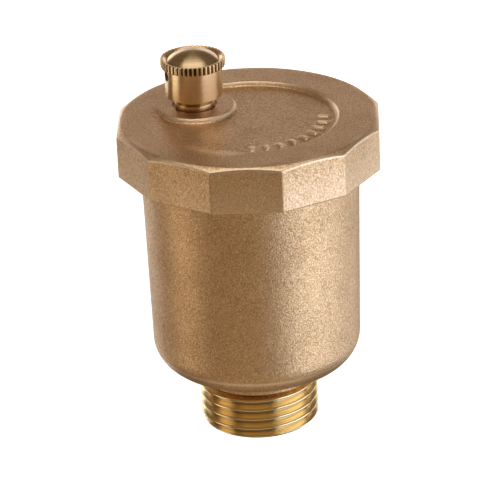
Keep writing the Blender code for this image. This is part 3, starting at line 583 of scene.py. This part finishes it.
# %% Lid outline
SIDES = 12
FLAT_R = 22.5
FIRST_CORNER = radians(13.0)
CORNER_ROUND = 0.8
TOP_EDGE_R = 22.0
TOP_SLOPE = tan(radians(30.0))
LID_Z = lid_high.z / MM
LID_FOOT = lid_low.z / MM
CEILING_Z = CEILING / MM
RECESS_R = rim_r + 0.3
RECESS_Z = RIM_TOP_Z + 1.6
LID_HOLLOW_R = chamber_r - 0.2
INNER_TOP_R = 20.9


def lid_radius(angle):
    """Radius of the twelve-sided outline with rounded corners."""
    half_side = pi / SIDES
    off = (angle - FIRST_CORNER + half_side) % (2 * half_side) - half_side
    centre = (FLAT_R - CORNER_ROUND) / cos(half_side)
    tangent = atan2(CORNER_ROUND * sin(half_side), centre + CORNER_ROUND * cos(half_side))
    if abs(off) > tangent:
        return FLAT_R / cos(half_side - abs(off))
    return centre * cos(off) + sqrt(CORNER_ROUND ** 2 - (centre * sin(off)) ** 2)


near_corner = [-0.0100, -0.0072, -0.0054, -0.0036, -0.0018, 0.0, 0.0018, 0.0036, 0.0054, 0.0072, 0.0100]
along_flat = [0.02 + k * (2 * pi / SIDES - 0.04) / 12 for k in range(13)]
lid_angles = [FIRST_CORNER + 2 * pi * n / SIDES + off
              for n in range(SIDES) for off in near_corner + along_flat]


def lid_column(angle):
    """Points up one column of the lid, from the hollow's edge to the flat ring on top."""
    outer = lid_radius(angle)
    slope_z = LID_Z - (outer - TOP_EDGE_R) * TOP_SLOPE
    outline = rounded([
        (LID_HOLLOW_R, CEILING_Z, 0),
        (LID_HOLLOW_R, RECESS_Z, 0),
        (RECESS_R, RECESS_Z, 0),
        (RECESS_R, LID_FOOT, 0.3),
        (outer, LID_FOOT, 0.2),
        (outer, slope_z, 0.35),
        (TOP_EDGE_R, LID_Z, 0.7),
        (INNER_TOP_R, LID_Z, 0),
    ], steps=4)
    outline = with_support(outline, gap=0.25 * MM, least=1.2 * MM)
    return [(r * cos(angle), r * sin(angle), z) for r, z in outline]


lid_columns = [lid_column(angle) for angle in lid_angles]
lid_rows = list(zip(*lid_columns))
print(len(lid_rows), "rows of", len(lid_angles), "points round the lid")

# %% [markdown]
# ### The dish, the pad and the bars
#
# The top is a sheet whose height changes over its area.  The dish is the round hollow less the nozzle's
# pad, so its edge is the place where `max(distance past the dish, distance inside the pad)` is zero, and
# the same sum gives lines that run beside the edge.  Points are laid along such lines wherever the height
# changes fast, and loosely elsewhere.  A Delaunay triangulation then joins them without any guesswork.

# %% Height of the lid's top
DISH_R = 15.4
DISH_DEEP = 0.75
PAD_R = 6.9
PAD_AWAY = 10.85
pad_centre = VALVE_AWAY * PAD_AWAY
nozzle_centre = VALVE / MM
SPOT_R = 3.95
SPOT_DEEP = 0.45
SPOT_RUN = 0.2
HOLE_R = 3.1
HOLE_POINTS = 60
BARS = 9
BAR_R = 13.0
BAR_HALF = (0.95, 0.45)
BAR_TALL = 0.30
BAR_CORNER = 0.2
BAR_RUN = 0.3
BAR_ARC = 88.0
WALL_RUN = 0.42
SOFT_RUN = 2.2
SOFT_FROM = radians(158.0)
SOFT_TO = radians(262.0)
SOFT_FADE = 0.25


def smooth(share):
    share = min(1.0, max(0.0, share))
    return share * share * (3 - 2 * share)


def from_nozzle(x, y):
    """Distance from the nozzle's axis."""
    return hypot(x - nozzle_centre.x, y - nozzle_centre.y)


def past_dish(x, y):
    """Distance outside the dish's edge, negative in the dish."""
    return max(hypot(x, y) - DISH_R, PAD_R - hypot(x - pad_centre.x, y - pad_centre.y))


bar_angles = [radians(-BAR_ARC + BAR_ARC * k / (BARS - 1)) for k in range(BARS)]


def past_bar(x, y, angle):
    """Distance outside one raised bar's outline, negative on top of it."""
    along = x * cos(angle) + y * sin(angle) - BAR_R
    across = -x * sin(angle) + y * cos(angle)
    dx, dy = abs(along) - BAR_HALF[0] + BAR_CORNER, abs(across) - BAR_HALF[1] + BAR_CORNER
    return hypot(max(dx, 0), max(dy, 0)) + min(max(dx, dy), 0) - BAR_CORNER


def dish_run(x, y):
    """Half the width of the dish's wall.  The casting is washed out in front of the pad, on the left."""
    angle = atan2(y, x) % (2 * pi)
    share = smooth((angle - SOFT_FROM) / SOFT_FADE + 0.5) * smooth((SOFT_TO - angle) / SOFT_FADE + 0.5)
    return WALL_RUN + (SOFT_RUN - WALL_RUN) * share


def lid_height(x, y):
    from_dish = hypot(x, y) - DISH_R
    from_pad = PAD_R - hypot(x - pad_centre.x, y - pad_centre.y)
    hollow = 1 - smooth(from_dish / (2 * dish_run(x, y)) + 0.5)
    z = LID_Z - DISH_DEEP * hollow * (1 - smooth(from_pad / (2 * WALL_RUN) + 0.5))
    if past_dish(x, y) < 0:
        z += BAR_TALL * max(smooth(0.5 - past_bar(x, y, angle) / BAR_RUN) for angle in bar_angles)
    return z - SPOT_DEEP * (1 - smooth((from_nozzle(x, y) - SPOT_R) / SPOT_RUN + 0.5))


print("heights at the middle, the rim and the pad:",
      [round(lid_height(*p), 2) for p in ((0, 0), (18, 0), (pad_centre.x, pad_centre.y + 5.5))])

# %% Lay out the points of the lid's top


def dish_line(offset, spacing):
    """Points along the line that runs beside the dish's edge."""
    big, small = DISH_R + offset, PAD_R - offset
    turn = atan2(VALVE_AWAY.y, VALVE_AWAY.x)
    cut = acos((big ** 2 + PAD_AWAY ** 2 - small ** 2) / (2 * big * PAD_AWAY))
    count = int(big * (2 * pi - 2 * cut) / spacing)
    line = [(big * cos(turn + a), big * sin(turn + a))
            for a in (cut + (2 * pi - 2 * cut) * k / count for k in range(count + 1))]
    cut = acos((big ** 2 - PAD_AWAY ** 2 - small ** 2) / (2 * small * PAD_AWAY))
    count = int(small * (2 * pi - 2 * cut) / spacing)
    line += [(pad_centre.x + small * cos(turn + a), pad_centre.y + small * sin(turn + a))
             for a in (2 * pi - cut - (2 * pi - 2 * cut) * k / count for k in range(1, count))]
    return line


def ring_points(centre, radius, count):
    return [(centre[0] + radius * cos(2 * pi * k / count), centre[1] + radius * sin(2 * pi * k / count))
            for k in range(count)]


def bar_line(angle, offset, count=28):
    """Points round one raised bar, a little outside or inside its outline."""
    points = []
    for k in range(count):
        a = 2 * pi * (k + 0.5) / count
        dx, dy = cos(a), sin(a)
        reach = 0.0
        for _ in range(24):
            x = (BAR_R + dx * reach) * cos(angle) - dy * reach * sin(angle)
            y = (BAR_R + dx * reach) * sin(angle) + dy * reach * cos(angle)
            reach += offset - past_bar(x, y, angle)
        points.append((x, y))
    return points


lines = [dish_line(offset, 0.45) for offset in
         (-0.58, -0.42, -0.34, -0.26, -0.17, -0.08, 0.0, 0.08, 0.17, 0.26, 0.34, 0.42, 0.58)]
lines += [ring_points(nozzle_centre, r, HOLE_POINTS)
          for r in (HOLE_R, 3.5, 3.85, 3.90, 3.95, 4.00, 4.05, 4.3)]
lines += [bar_line(angle, offset) for angle in bar_angles for offset in (-0.15, -0.09, 0.0, 0.09, 0.15)]
outer_ring = [(p[0] / MM, p[1] / MM) for p in lid_rows[-1]]
lines.append(outer_ring)
print(len(lines), "lines with", sum(len(line) for line in lines), "points")

# %% Triangulate and raise the top
TOP_GAP = 0.8


def loop(start, count):
    """Edges that join count points to a closed line."""
    return [(start + k, start + (k + 1) % count) for k in range(count)]


def triangulated(points, edges):
    """Join flat points by triangles, and leave the nozzle's hole open."""
    flat = delaunay_2d_cdt([Vector(p) for p in points], edges, [], 0, 1e-5)
    corners, faces = flat[0], flat[2]
    kept = []
    for face in faces:
        middle = sum((corners[k] for k in face), Vector((0, 0))) / len(face)
        if from_nozzle(middle.x, middle.y) > HOLE_R * cos(pi / HOLE_POINTS):
            kept.append(tuple(face))
    return corners, kept


def lid_top():
    """Points and triangles of the lid's top, with its hole left open."""
    points, edges = [], []
    for line in lines:
        edges += loop(len(points), len(line))
        points += line
    for row in range(-28, 29):
        for column in range(-28, 29):
            x, y = (column + 0.5 * (row % 2)) * TOP_GAP, row * TOP_GAP * sqrt(0.75)
            on_top = hypot(x, y) < INNER_TOP_R - 0.4 and abs(past_dish(x, y)) > 0.8
            from_bar = min(past_bar(x, y, angle) for angle in bar_angles)
            if on_top and from_bar > 0.4 and from_nozzle(x, y) > 4.6:
                points.append((x, y))
    corners, faces = triangulated(points, edges)
    return [(p.x * MM, p.y * MM, lid_height(p.x, p.y) * MM) for p in corners], faces


top_points, top_faces = lid_top()
print(len(top_points), "points and", len(top_faces), "triangles in the lid's top")

# %% Close the lid under the top


def lid_ceiling():
    """The flat ceiling round the nozzle's hole, and the wall of the hole."""
    outer = [(p[0] / MM, p[1] / MM) for p in lid_rows[0]]
    inner = ring_points(nozzle_centre, HOLE_R, HOLE_POINTS)
    corners, faces = triangulated(outer + inner, loop(0, len(outer)) + loop(len(outer), len(inner)))
    ceiling = [(p.x * MM, p.y * MM, CEILING) for p in corners]
    wall = [[(x * MM, y * MM, z) for x, y in inner] for z in (CEILING, lid_height(*inner[0]) * MM)]
    return joined((ceiling, faces), skin(wall))


lid_side = skin([list(row) for row in lid_rows])
vent_lid = solid("cast_lid", *joined(lid_side, (top_points, top_faces), lid_ceiling()), [CAST],
                 "housing", "cast_brass", "lid")

# %% [markdown]
# ## Where the casting is worn, and where highlights are painted
#
# Tumbling with other castings rubs the corners a little bright, and pale highlights are painted there too,
# standing in for the light that the rounded edges catch.  The finish reads a stored number at every point.
# It is high along the lid's top edge, along the lip of the dish and on the bars, and on a thin line where
# the body's side runs into its bottom corner, which is only a painted highlight.  It is weaker at the lid's
# foot, and a painted glow lies in the part of the dish in front of the nozzle.  Only the shape decides it,
# so the pale places stay where they are in every view.

# %% Paint the wear and the painted highlights
BOTTOM_LINE = 14.71
# Centre and reach of a painted glow in the dish, in front of the nozzle's pad.
DISH_GLOW_AT = (-7.5, -5.0)
DISH_GLOW_R = 7.5


def lid_wear_and_highlight(point):
    x, y, z = (value / MM for value in point)
    r = hypot(x, y)
    if z < LID_FOOT + 0.5 or r < HOLE_R:
        return 0.3 * (r > TOP_EDGE_R)
    # Painted highlight along the lid's top edge.
    if r > TOP_EDGE_R - 0.4:
        edge_z = LID_Z - (lid_radius(atan2(y, x)) - TOP_EDGE_R) * TOP_SLOPE
        return max(0.0, 1.0 - abs(z - edge_z) / 0.45)
    edge = past_dish(x, y)
    # Painted highlight along the lip of the dish.
    lip = max(0.0, 1.0 - abs(edge - 0.12) / 0.30)
    if abs(r - DISH_R) < 1.0:
        lip *= (WALL_RUN / dish_run(x, y)) ** 2
    # Painted highlight on the raised bars.
    bar = max(smooth(0.5 - past_bar(x, y, angle) / BAR_RUN) for angle in bar_angles) if edge < 0 else 0.0
    # A painted glow in the dish in front of the pad.
    from_dish_glow = hypot(x - DISH_GLOW_AT[0], y - DISH_GLOW_AT[1])
    dish_glow = 0.5 * smooth(1.0 - from_dish_glow / DISH_GLOW_R) * (z < LID_Z - 0.2)
    return max(lip, 0.8 * bar, dish_glow)


def body_highlight_line(point):
    """A thin painted highlight line where the side runs into the bottom corner."""
    return 0.9 * max(0.0, 1.0 - abs(point.z / MM - BOTTOM_LINE) / 0.5) * (hypot(point.x, point.y) > 15 * MM)


def paint(piece, name, value_at):
    """Store a number at every point of a piece, for its finish to read."""
    values = piece.data.attributes.new(name, "FLOAT", "POINT")
    for vert in piece.data.vertices:
        values.data[vert.index].value = value_at(vert.co)
    print(piece.name, name, "above a half at", sum(value.value > 0.5 for value in values.data), "points")


paint(vent_lid, "wear", lid_wear_and_highlight)
paint(vent_body, "wear", body_highlight_line)

# %% [markdown]
# ## The nozzle
#
# The nozzle is a turned brass plug.  Between the lid and the cap it shows a plain ring and the start of
# its fine thread.  The parts below the lid and under the cap are hidden but present, because the cap can
# be unscrewed.  Its thread is cut here as plain rounded rings: at this size nobody can see that they climb.

# %% Make the nozzle
NECK_R = 3.45
TIP_R = 2.2
BORE = 1.0
SHANK_R = 2.9
TAIL_R = 2.4
CAP_Z = cap_low.z / MM
NOZZLE_TOP = nozzle_high.z / MM
NOZZLE_FOOT = nozzle_low.z / MM
FINE_PITCH = 0.8
FINE_DEEP = 0.32
TIP_TALL = 2.1

neck_foot = LID_Z - SPOT_DEEP + 0.2
tip_foot = NOZZLE_TOP - TIP_TALL
neck = [(SHANK_R, CEILING_Z, 0), (SHANK_R, neck_foot, 0.05), (NECK_R, neck_foot, 0.15),
        (NECK_R, neck_foot + 0.95, 0.12)]
root_r, crest_r = NECK_R - FINE_DEEP, NECK_R - 0.02
ring_foot = neck_foot + 1.05
while ring_foot < tip_foot - FINE_PITCH:
    neck += [(root_r, ring_foot + 0.10, 0.05), (root_r, ring_foot + 0.22, 0.05),
             (crest_r, ring_foot + 0.46, 0.06), (crest_r, ring_foot + 0.58, 0.06)]
    ring_foot += FINE_PITCH
nozzle_outline = rounded(neck + [
    (NECK_R - 0.3, tip_foot, 0.1), (TIP_R, tip_foot, 0.1), (TIP_R, NOZZLE_TOP, 0.35),
    (BORE, NOZZLE_TOP, 0.1), (BORE, NOZZLE_FOOT, 0.1), (BORE + 0.5, NOZZLE_FOOT, 0.1),
    (TAIL_R, NOZZLE_FOOT + 0.3, 0.1), (TAIL_R, CEILING_Z, 0.1), (SHANK_R, CEILING_Z, 0)], steps=3)
vent_nozzle = solid("turned_nozzle", *skin(lathe_rows(nozzle_outline, 96, VALVE)), [VALVE_BRASS],
                    "housing", "machined_brass", "valve_nozzle")

# %% [markdown]
# ## The cap
#
# The cap is gripped by the ribs of its flange.  Its top is a shallow dome that stands in a ring which
# slopes inward, with the small pip that the parting tool leaves.  The outline is turned like the others,
# but with a multiple of the number of ribs for its columns, and the columns of the flange move in and out.
# A small hole in the side lets the air escape.

# %% Make the cap
RIBS = 44
RIB_DEEP = 0.35
COLUMNS_PER_RIB = 6
CAP_TOP = cap_high.z / MM
FLANGE_R = (cap_high.x - cap_low.x) / 2 / MM
SKIRT_R = FLANGE_R - 0.65
CAP_BORE_R = 3.62
SKIRT_TALL = 5.35
FLANGE_TALL = 1.55
FLANGE_FOOT = CAP_Z + SKIRT_TALL
FLANGE_TOP = FLANGE_FOOT + FLANGE_TALL
DOME_R = 4.6
DOME_FOOT = FLANGE_TOP - 0.4
CAP_CEILING = FLANGE_TOP - 0.75
PIP_TALL = 0.15
DOME_TOP = CAP_TOP - PIP_TALL
DOME_STEPS = 14

dome_rise = DOME_TOP - DOME_FOOT
sphere = (DOME_R ** 2 + dome_rise ** 2) / (2 * dome_rise)
dome = []
for k in range(DOME_STEPS):
    angle = asin(DOME_R / sphere) * (1 - k / DOME_STEPS)
    dome.append((sphere * sin(angle), DOME_TOP - sphere * (1 - cos(angle)), 0))
cap_outline = rounded([
    (0.0, CAP_CEILING, 0), (CAP_BORE_R, CAP_CEILING, 0.2), (CAP_BORE_R, CAP_Z, 0.15),
    (SKIRT_R - 0.14, CAP_Z, 0.05), (SKIRT_R, CAP_Z + 0.14, 0.08), (SKIRT_R, FLANGE_FOOT, 0.12),
    (FLANGE_R, FLANGE_FOOT, 0.22), (FLANGE_R, FLANGE_TOP, 0.15), (FLANGE_R - 0.3, FLANGE_TOP, 0.10),
    (DOME_R + 0.05, DOME_FOOT, 0.05), *dome,
    (0.32, DOME_TOP, 0.0), (0.2, CAP_TOP, 0.1), (0.0, CAP_TOP, 0)], steps=4)
cap_outline = with_support(cap_outline, gap=0.12 * MM, least=0.5 * MM)


def rib_depth(angle):
    """How far the flange is pressed in, from 0 on a rib to 1 in a groove."""
    place = (angle * RIBS / (2 * pi)) % 1.0
    return smooth(min(place, 1 - place) * 2 * 1.6 - 0.35)


def make_cap():
    columns = RIBS * COLUMNS_PER_RIB
    rows = []
    for r, z in cap_outline:
        share = smooth((z / MM - FLANGE_FOOT + 0.02) / 0.1) * smooth((r / MM - FLANGE_R + 0.40) / 0.15)
        row = []
        for i in range(columns):
            angle = 2 * pi * i / columns
            reach = r - RIB_DEEP * MM * share * rib_depth(angle)
            row.append((VALVE.x + reach * cos(angle), VALVE.y + reach * sin(angle), z))
        rows.append(row)
    return solid("knurled_cap", *skin(rows), [VALVE_BRASS], "cap", "machined_brass", "vent_cap")


vent_cap = make_cap()

# %% Drill the vent hole
VENT_HOLE_R = 0.9
VENT_HOLE_ANGLE = radians(200)
VENT_HOLE_Z = FLANGE_FOOT - 1.2
WALL_MIDDLE = 4.5


def drill(piece, angle, height, radius):
    """Cut a round hole through one side of the cap."""
    bpy.ops.mesh.primitive_cylinder_add(vertices=40, radius=radius * MM, depth=4 * MM)
    tool = bpy.context.active_object
    away = Vector((cos(angle), sin(angle), 0))
    place = VALVE + away * WALL_MIDDLE * MM + Vector((0, 0, height * MM))
    tilt = away.to_track_quat("Z", "Y").to_matrix().to_4x4()
    tool.matrix_world = Matrix.Translation(place) @ tilt
    cut = piece.modifiers.new("vent_hole", "BOOLEAN")
    cut.object = tool
    cut.solver = "EXACT"
    graph = bpy.context.evaluated_depsgraph_get()
    mesh = bpy.data.meshes.new_from_object(piece.evaluated_get(graph))
    piece.modifiers.clear()
    piece.data = mesh
    bpy.data.objects.remove(tool)
    mesh.set_sharp_from_angle(angle=radians(38))


drill(vent_cap, VENT_HOLE_ANGLE, VENT_HOLE_Z, VENT_HOLE_R)
print("cap faces:", len(vent_cap.data.polygons))

# %% [markdown]
# ## Where shade is painted
#
# The finish of turned brass reads a second number and turns darker where it is high.  This is painted
# shade: between the ribs of the flange, in the roots of both threads and on the relief above the inlet
# thread, where shade falls, and a darker tone on the dome that stands in for darker reflections.

# %% Paint the shade


def cap_shade(point):
    x, y, z = (value / MM for value in point)
    r = from_nozzle(x, y)
    # A darker tone painted on the dome, standing in for darker reflections: painted shade.
    if r < DOME_R + 0.1 and z > DOME_FOOT - 0.05:
        return 0.34
    if z < FLANGE_FOOT + 0.05 or z > FLANGE_TOP - 0.1 or r < FLANGE_R - RIB_DEEP - 0.03:
        return 0.0
    # Painted shade between the ribs of the flange.
    return 0.85 * smooth((FLANGE_R - 0.08 - r) / 0.2)


def nozzle_shade(point):
    # Painted shade in the roots of the nozzle's fine thread.
    return 0.6 * smooth((NECK_R - 0.1 - from_nozzle(point.x / MM, point.y / MM)) / 0.2)


def body_shade(point):
    """Painted shade in the roots of the inlet thread, and more on the relief above it."""
    most = 0.9 if point.z > (THREAD_TOP - RUN_OUT) * MM else 0.5
    return most * smooth((THREAD_R - 0.75 - hypot(point.x, point.y) / MM) / 0.45)


paint(vent_cap, "soil", cap_shade)
paint(vent_nozzle, "soil", nozzle_shade)
paint(vent_body, "soil", body_shade)

# %% [markdown]
# ## The pieces inside
#
# The float, the lever, the stem and their pins are hidden in use, but they are part of the vent and can be
# seen when it is taken apart.  They keep their engineering meshes.  Each gets the finish of its stuff:
# rolled steel with a fine grain, moulded rubber, pressed fibre, and the satin skin of a moulded float.

# %% Finishes of the inner pieces


def speckled(name, colour, other, size, roughness, metallic, depth, share=0.5):
    """A finish whose colour and roughness vary in small spots."""
    finish = Finish(name, colour, roughness, metallic)
    spots = finish.noise(size, detail=3.0, roughness=0.6)
    broad = finish.noise(size * 14, detail=2.0)
    spread = finish.ramp(spots * 0.7 + broad * 0.3, [(0.35, 0.0), (0.65, 1.0)])
    finish.set("Base Color", finish.mix(spread * share, colour, other))
    finish.set("Roughness", roughness - 0.06 + 0.12 * spots)
    finish.bump(spots, depth, 0.6)
    return finish.material


INNER = {
    "stainless": speckled("rolled_steel", (0.62, 0.61, 0.59), (0.48, 0.47, 0.45),
                          0.12 * MM, 0.30, 1.0, 0.004 * MM),
    "machined_brass": turned_brass("inner_brass", TURNED, TURNED_DEEP, 0.26, VALVE, stretch=0.3),
    "black_rubber": speckled("black_rubber", (0.022, 0.021, 0.020), (0.05, 0.05, 0.048),
                             0.2 * MM, 0.7, 0.0, 0.01 * MM),
    "red_fibre": speckled("red_fibre", (0.40, 0.085, 0.05), (0.25, 0.05, 0.03),
                          0.15 * MM, 0.85, 0.0, 0.02 * MM),
    "float_plastic": speckled("float_plastic", (0.80, 0.79, 0.74), (0.70, 0.69, 0.63),
                              0.5 * MM, 0.45, 0.0, 0.006 * MM, share=0.35),
}
slot_of = {part["node"]: part["material_slot"] for part in frame["record"]["subparts"]}
replaced = {"body", "lid", "valve_nozzle", "vent_cap"}
for name, node in sorted(frame["nodes"].items()):
    if name not in replaced:
        node.data.materials.clear()
        node.data.materials.append(INNER[slot_of[name]])
print("finished", len(frame["nodes"]) - len(replaced), "inner pieces")

# %% [markdown]
# ## The floor and the light
#
# Metal has almost no colour of its own: it shows what stands round it.  So the studio is planned from the
# vent outward.  A large cool softbox on the right and a smaller, weaker one on the left give the upright
# pale bands.  Two cool boxes further round and a wide low one behind keep the outlines light.  The lamp
# overhead is for the lips and chamfers that face up and forward, and the lamp from below is for the
# bottom corner and the undersides of the crests.  A weak warm one stands low in front, and the rest of the
# front is left dark, so that the middle stays deep.
#
# The floor is plain and pale.  The metal does not mirror it or take light from it, and it throws no
# shadow, so the lamps beneath it shine past and they alone shape the underside.

# %% Build the studio


def pale_floor():
    bm = bmesh.new()
    bmesh.ops.create_circle(bm, cap_ends=True, segments=96, radius=3.0)
    mesh = bpy.data.meshes.new("floor")
    bm.to_mesh(mesh)
    bm.free()
    floor = bpy.data.objects.new("floor", mesh)
    scene.collection.objects.link(floor)
    floor.location.z = -0.05 * MM
    finish = Finish("pale_floor", (0.86, 0.86, 0.86), 0.9, Emission_Strength=1.0)
    finish.set("Emission Color", (1.0, 1.0, 1.0, 1.0))
    mesh.materials.append(finish.material)
    floor.visible_glossy = False
    floor.visible_diffuse = False
    floor.visible_shadow = False


def softbox(name, azimuth, elevation, distance, width, height, radiance, tint):
    """A rectangular lamp that faces the vent.  Its power follows from how bright its face should look."""
    data = bpy.data.lights.new(name, "AREA")
    data.shape = "RECTANGLE"
    data.size = width
    data.size_y = height
    data.energy = radiance * pi * width * height
    data.color = tint
    lamp = bpy.data.objects.new(name, data)
    away = Vector((cos(azimuth) * cos(elevation), sin(azimuth) * cos(elevation), sin(elevation)))
    lamp.location = Vector((0, 0, 35 * MM)) + away * distance
    lamp.rotation_euler = away.to_track_quat("Z", "Y").to_euler()
    lamp.visible_camera = False
    scene.collection.objects.link(lamp)


pale_floor()
# name, azimuth and elevation in degrees, distance, width and height in metres, brightness, tint
boxes = [
    ("right_box", 338, -4, 0.8, 1.12, 1.10, 2.6, (0.60, 0.74, 1.0)),
    ("left_box", 192, -6, 0.8, 0.42, 1.00, 1.05, (1.0, 0.96, 0.90)),
    ("left_edge", 125, -12, 0.8, 0.60, 0.90, 1.0, (0.86, 0.93, 1.0)),
    ("right_edge", 40, -14, 0.8, 0.45, 0.80, 1.1, (0.75, 0.87, 1.0)),
    ("back_wall", 90, 8, 0.9, 1.30, 0.42, 1.15, (0.96, 0.96, 1.0)),
    ("overhead", 270, 84, 0.8, 0.80, 0.60, 1.6, (0.92, 0.95, 1.0)),
    ("from_below", 270, -72, 0.8, 1.00, 0.80, 0.34, (1.0, 0.92, 0.78)),
    ("front_low", 258, -28, 0.8, 0.80, 0.45, 0.28, (1.0, 0.86, 0.60)),
]
for name, azimuth, elevation, *rest in boxes:
    softbox(name, radians(azimuth), radians(elevation), *rest)

world = bpy.data.worlds.new("studio")
world.use_nodes = True
backdrop = world.node_tree.nodes["Background"]
backdrop.inputs["Color"].default_value = (0.18, 0.14, 0.10, 1.0)
backdrop.inputs["Strength"].default_value = 1.0
scene.world = world
scene.view_settings.view_transform = "Standard"
print("lamps:", len(boxes))
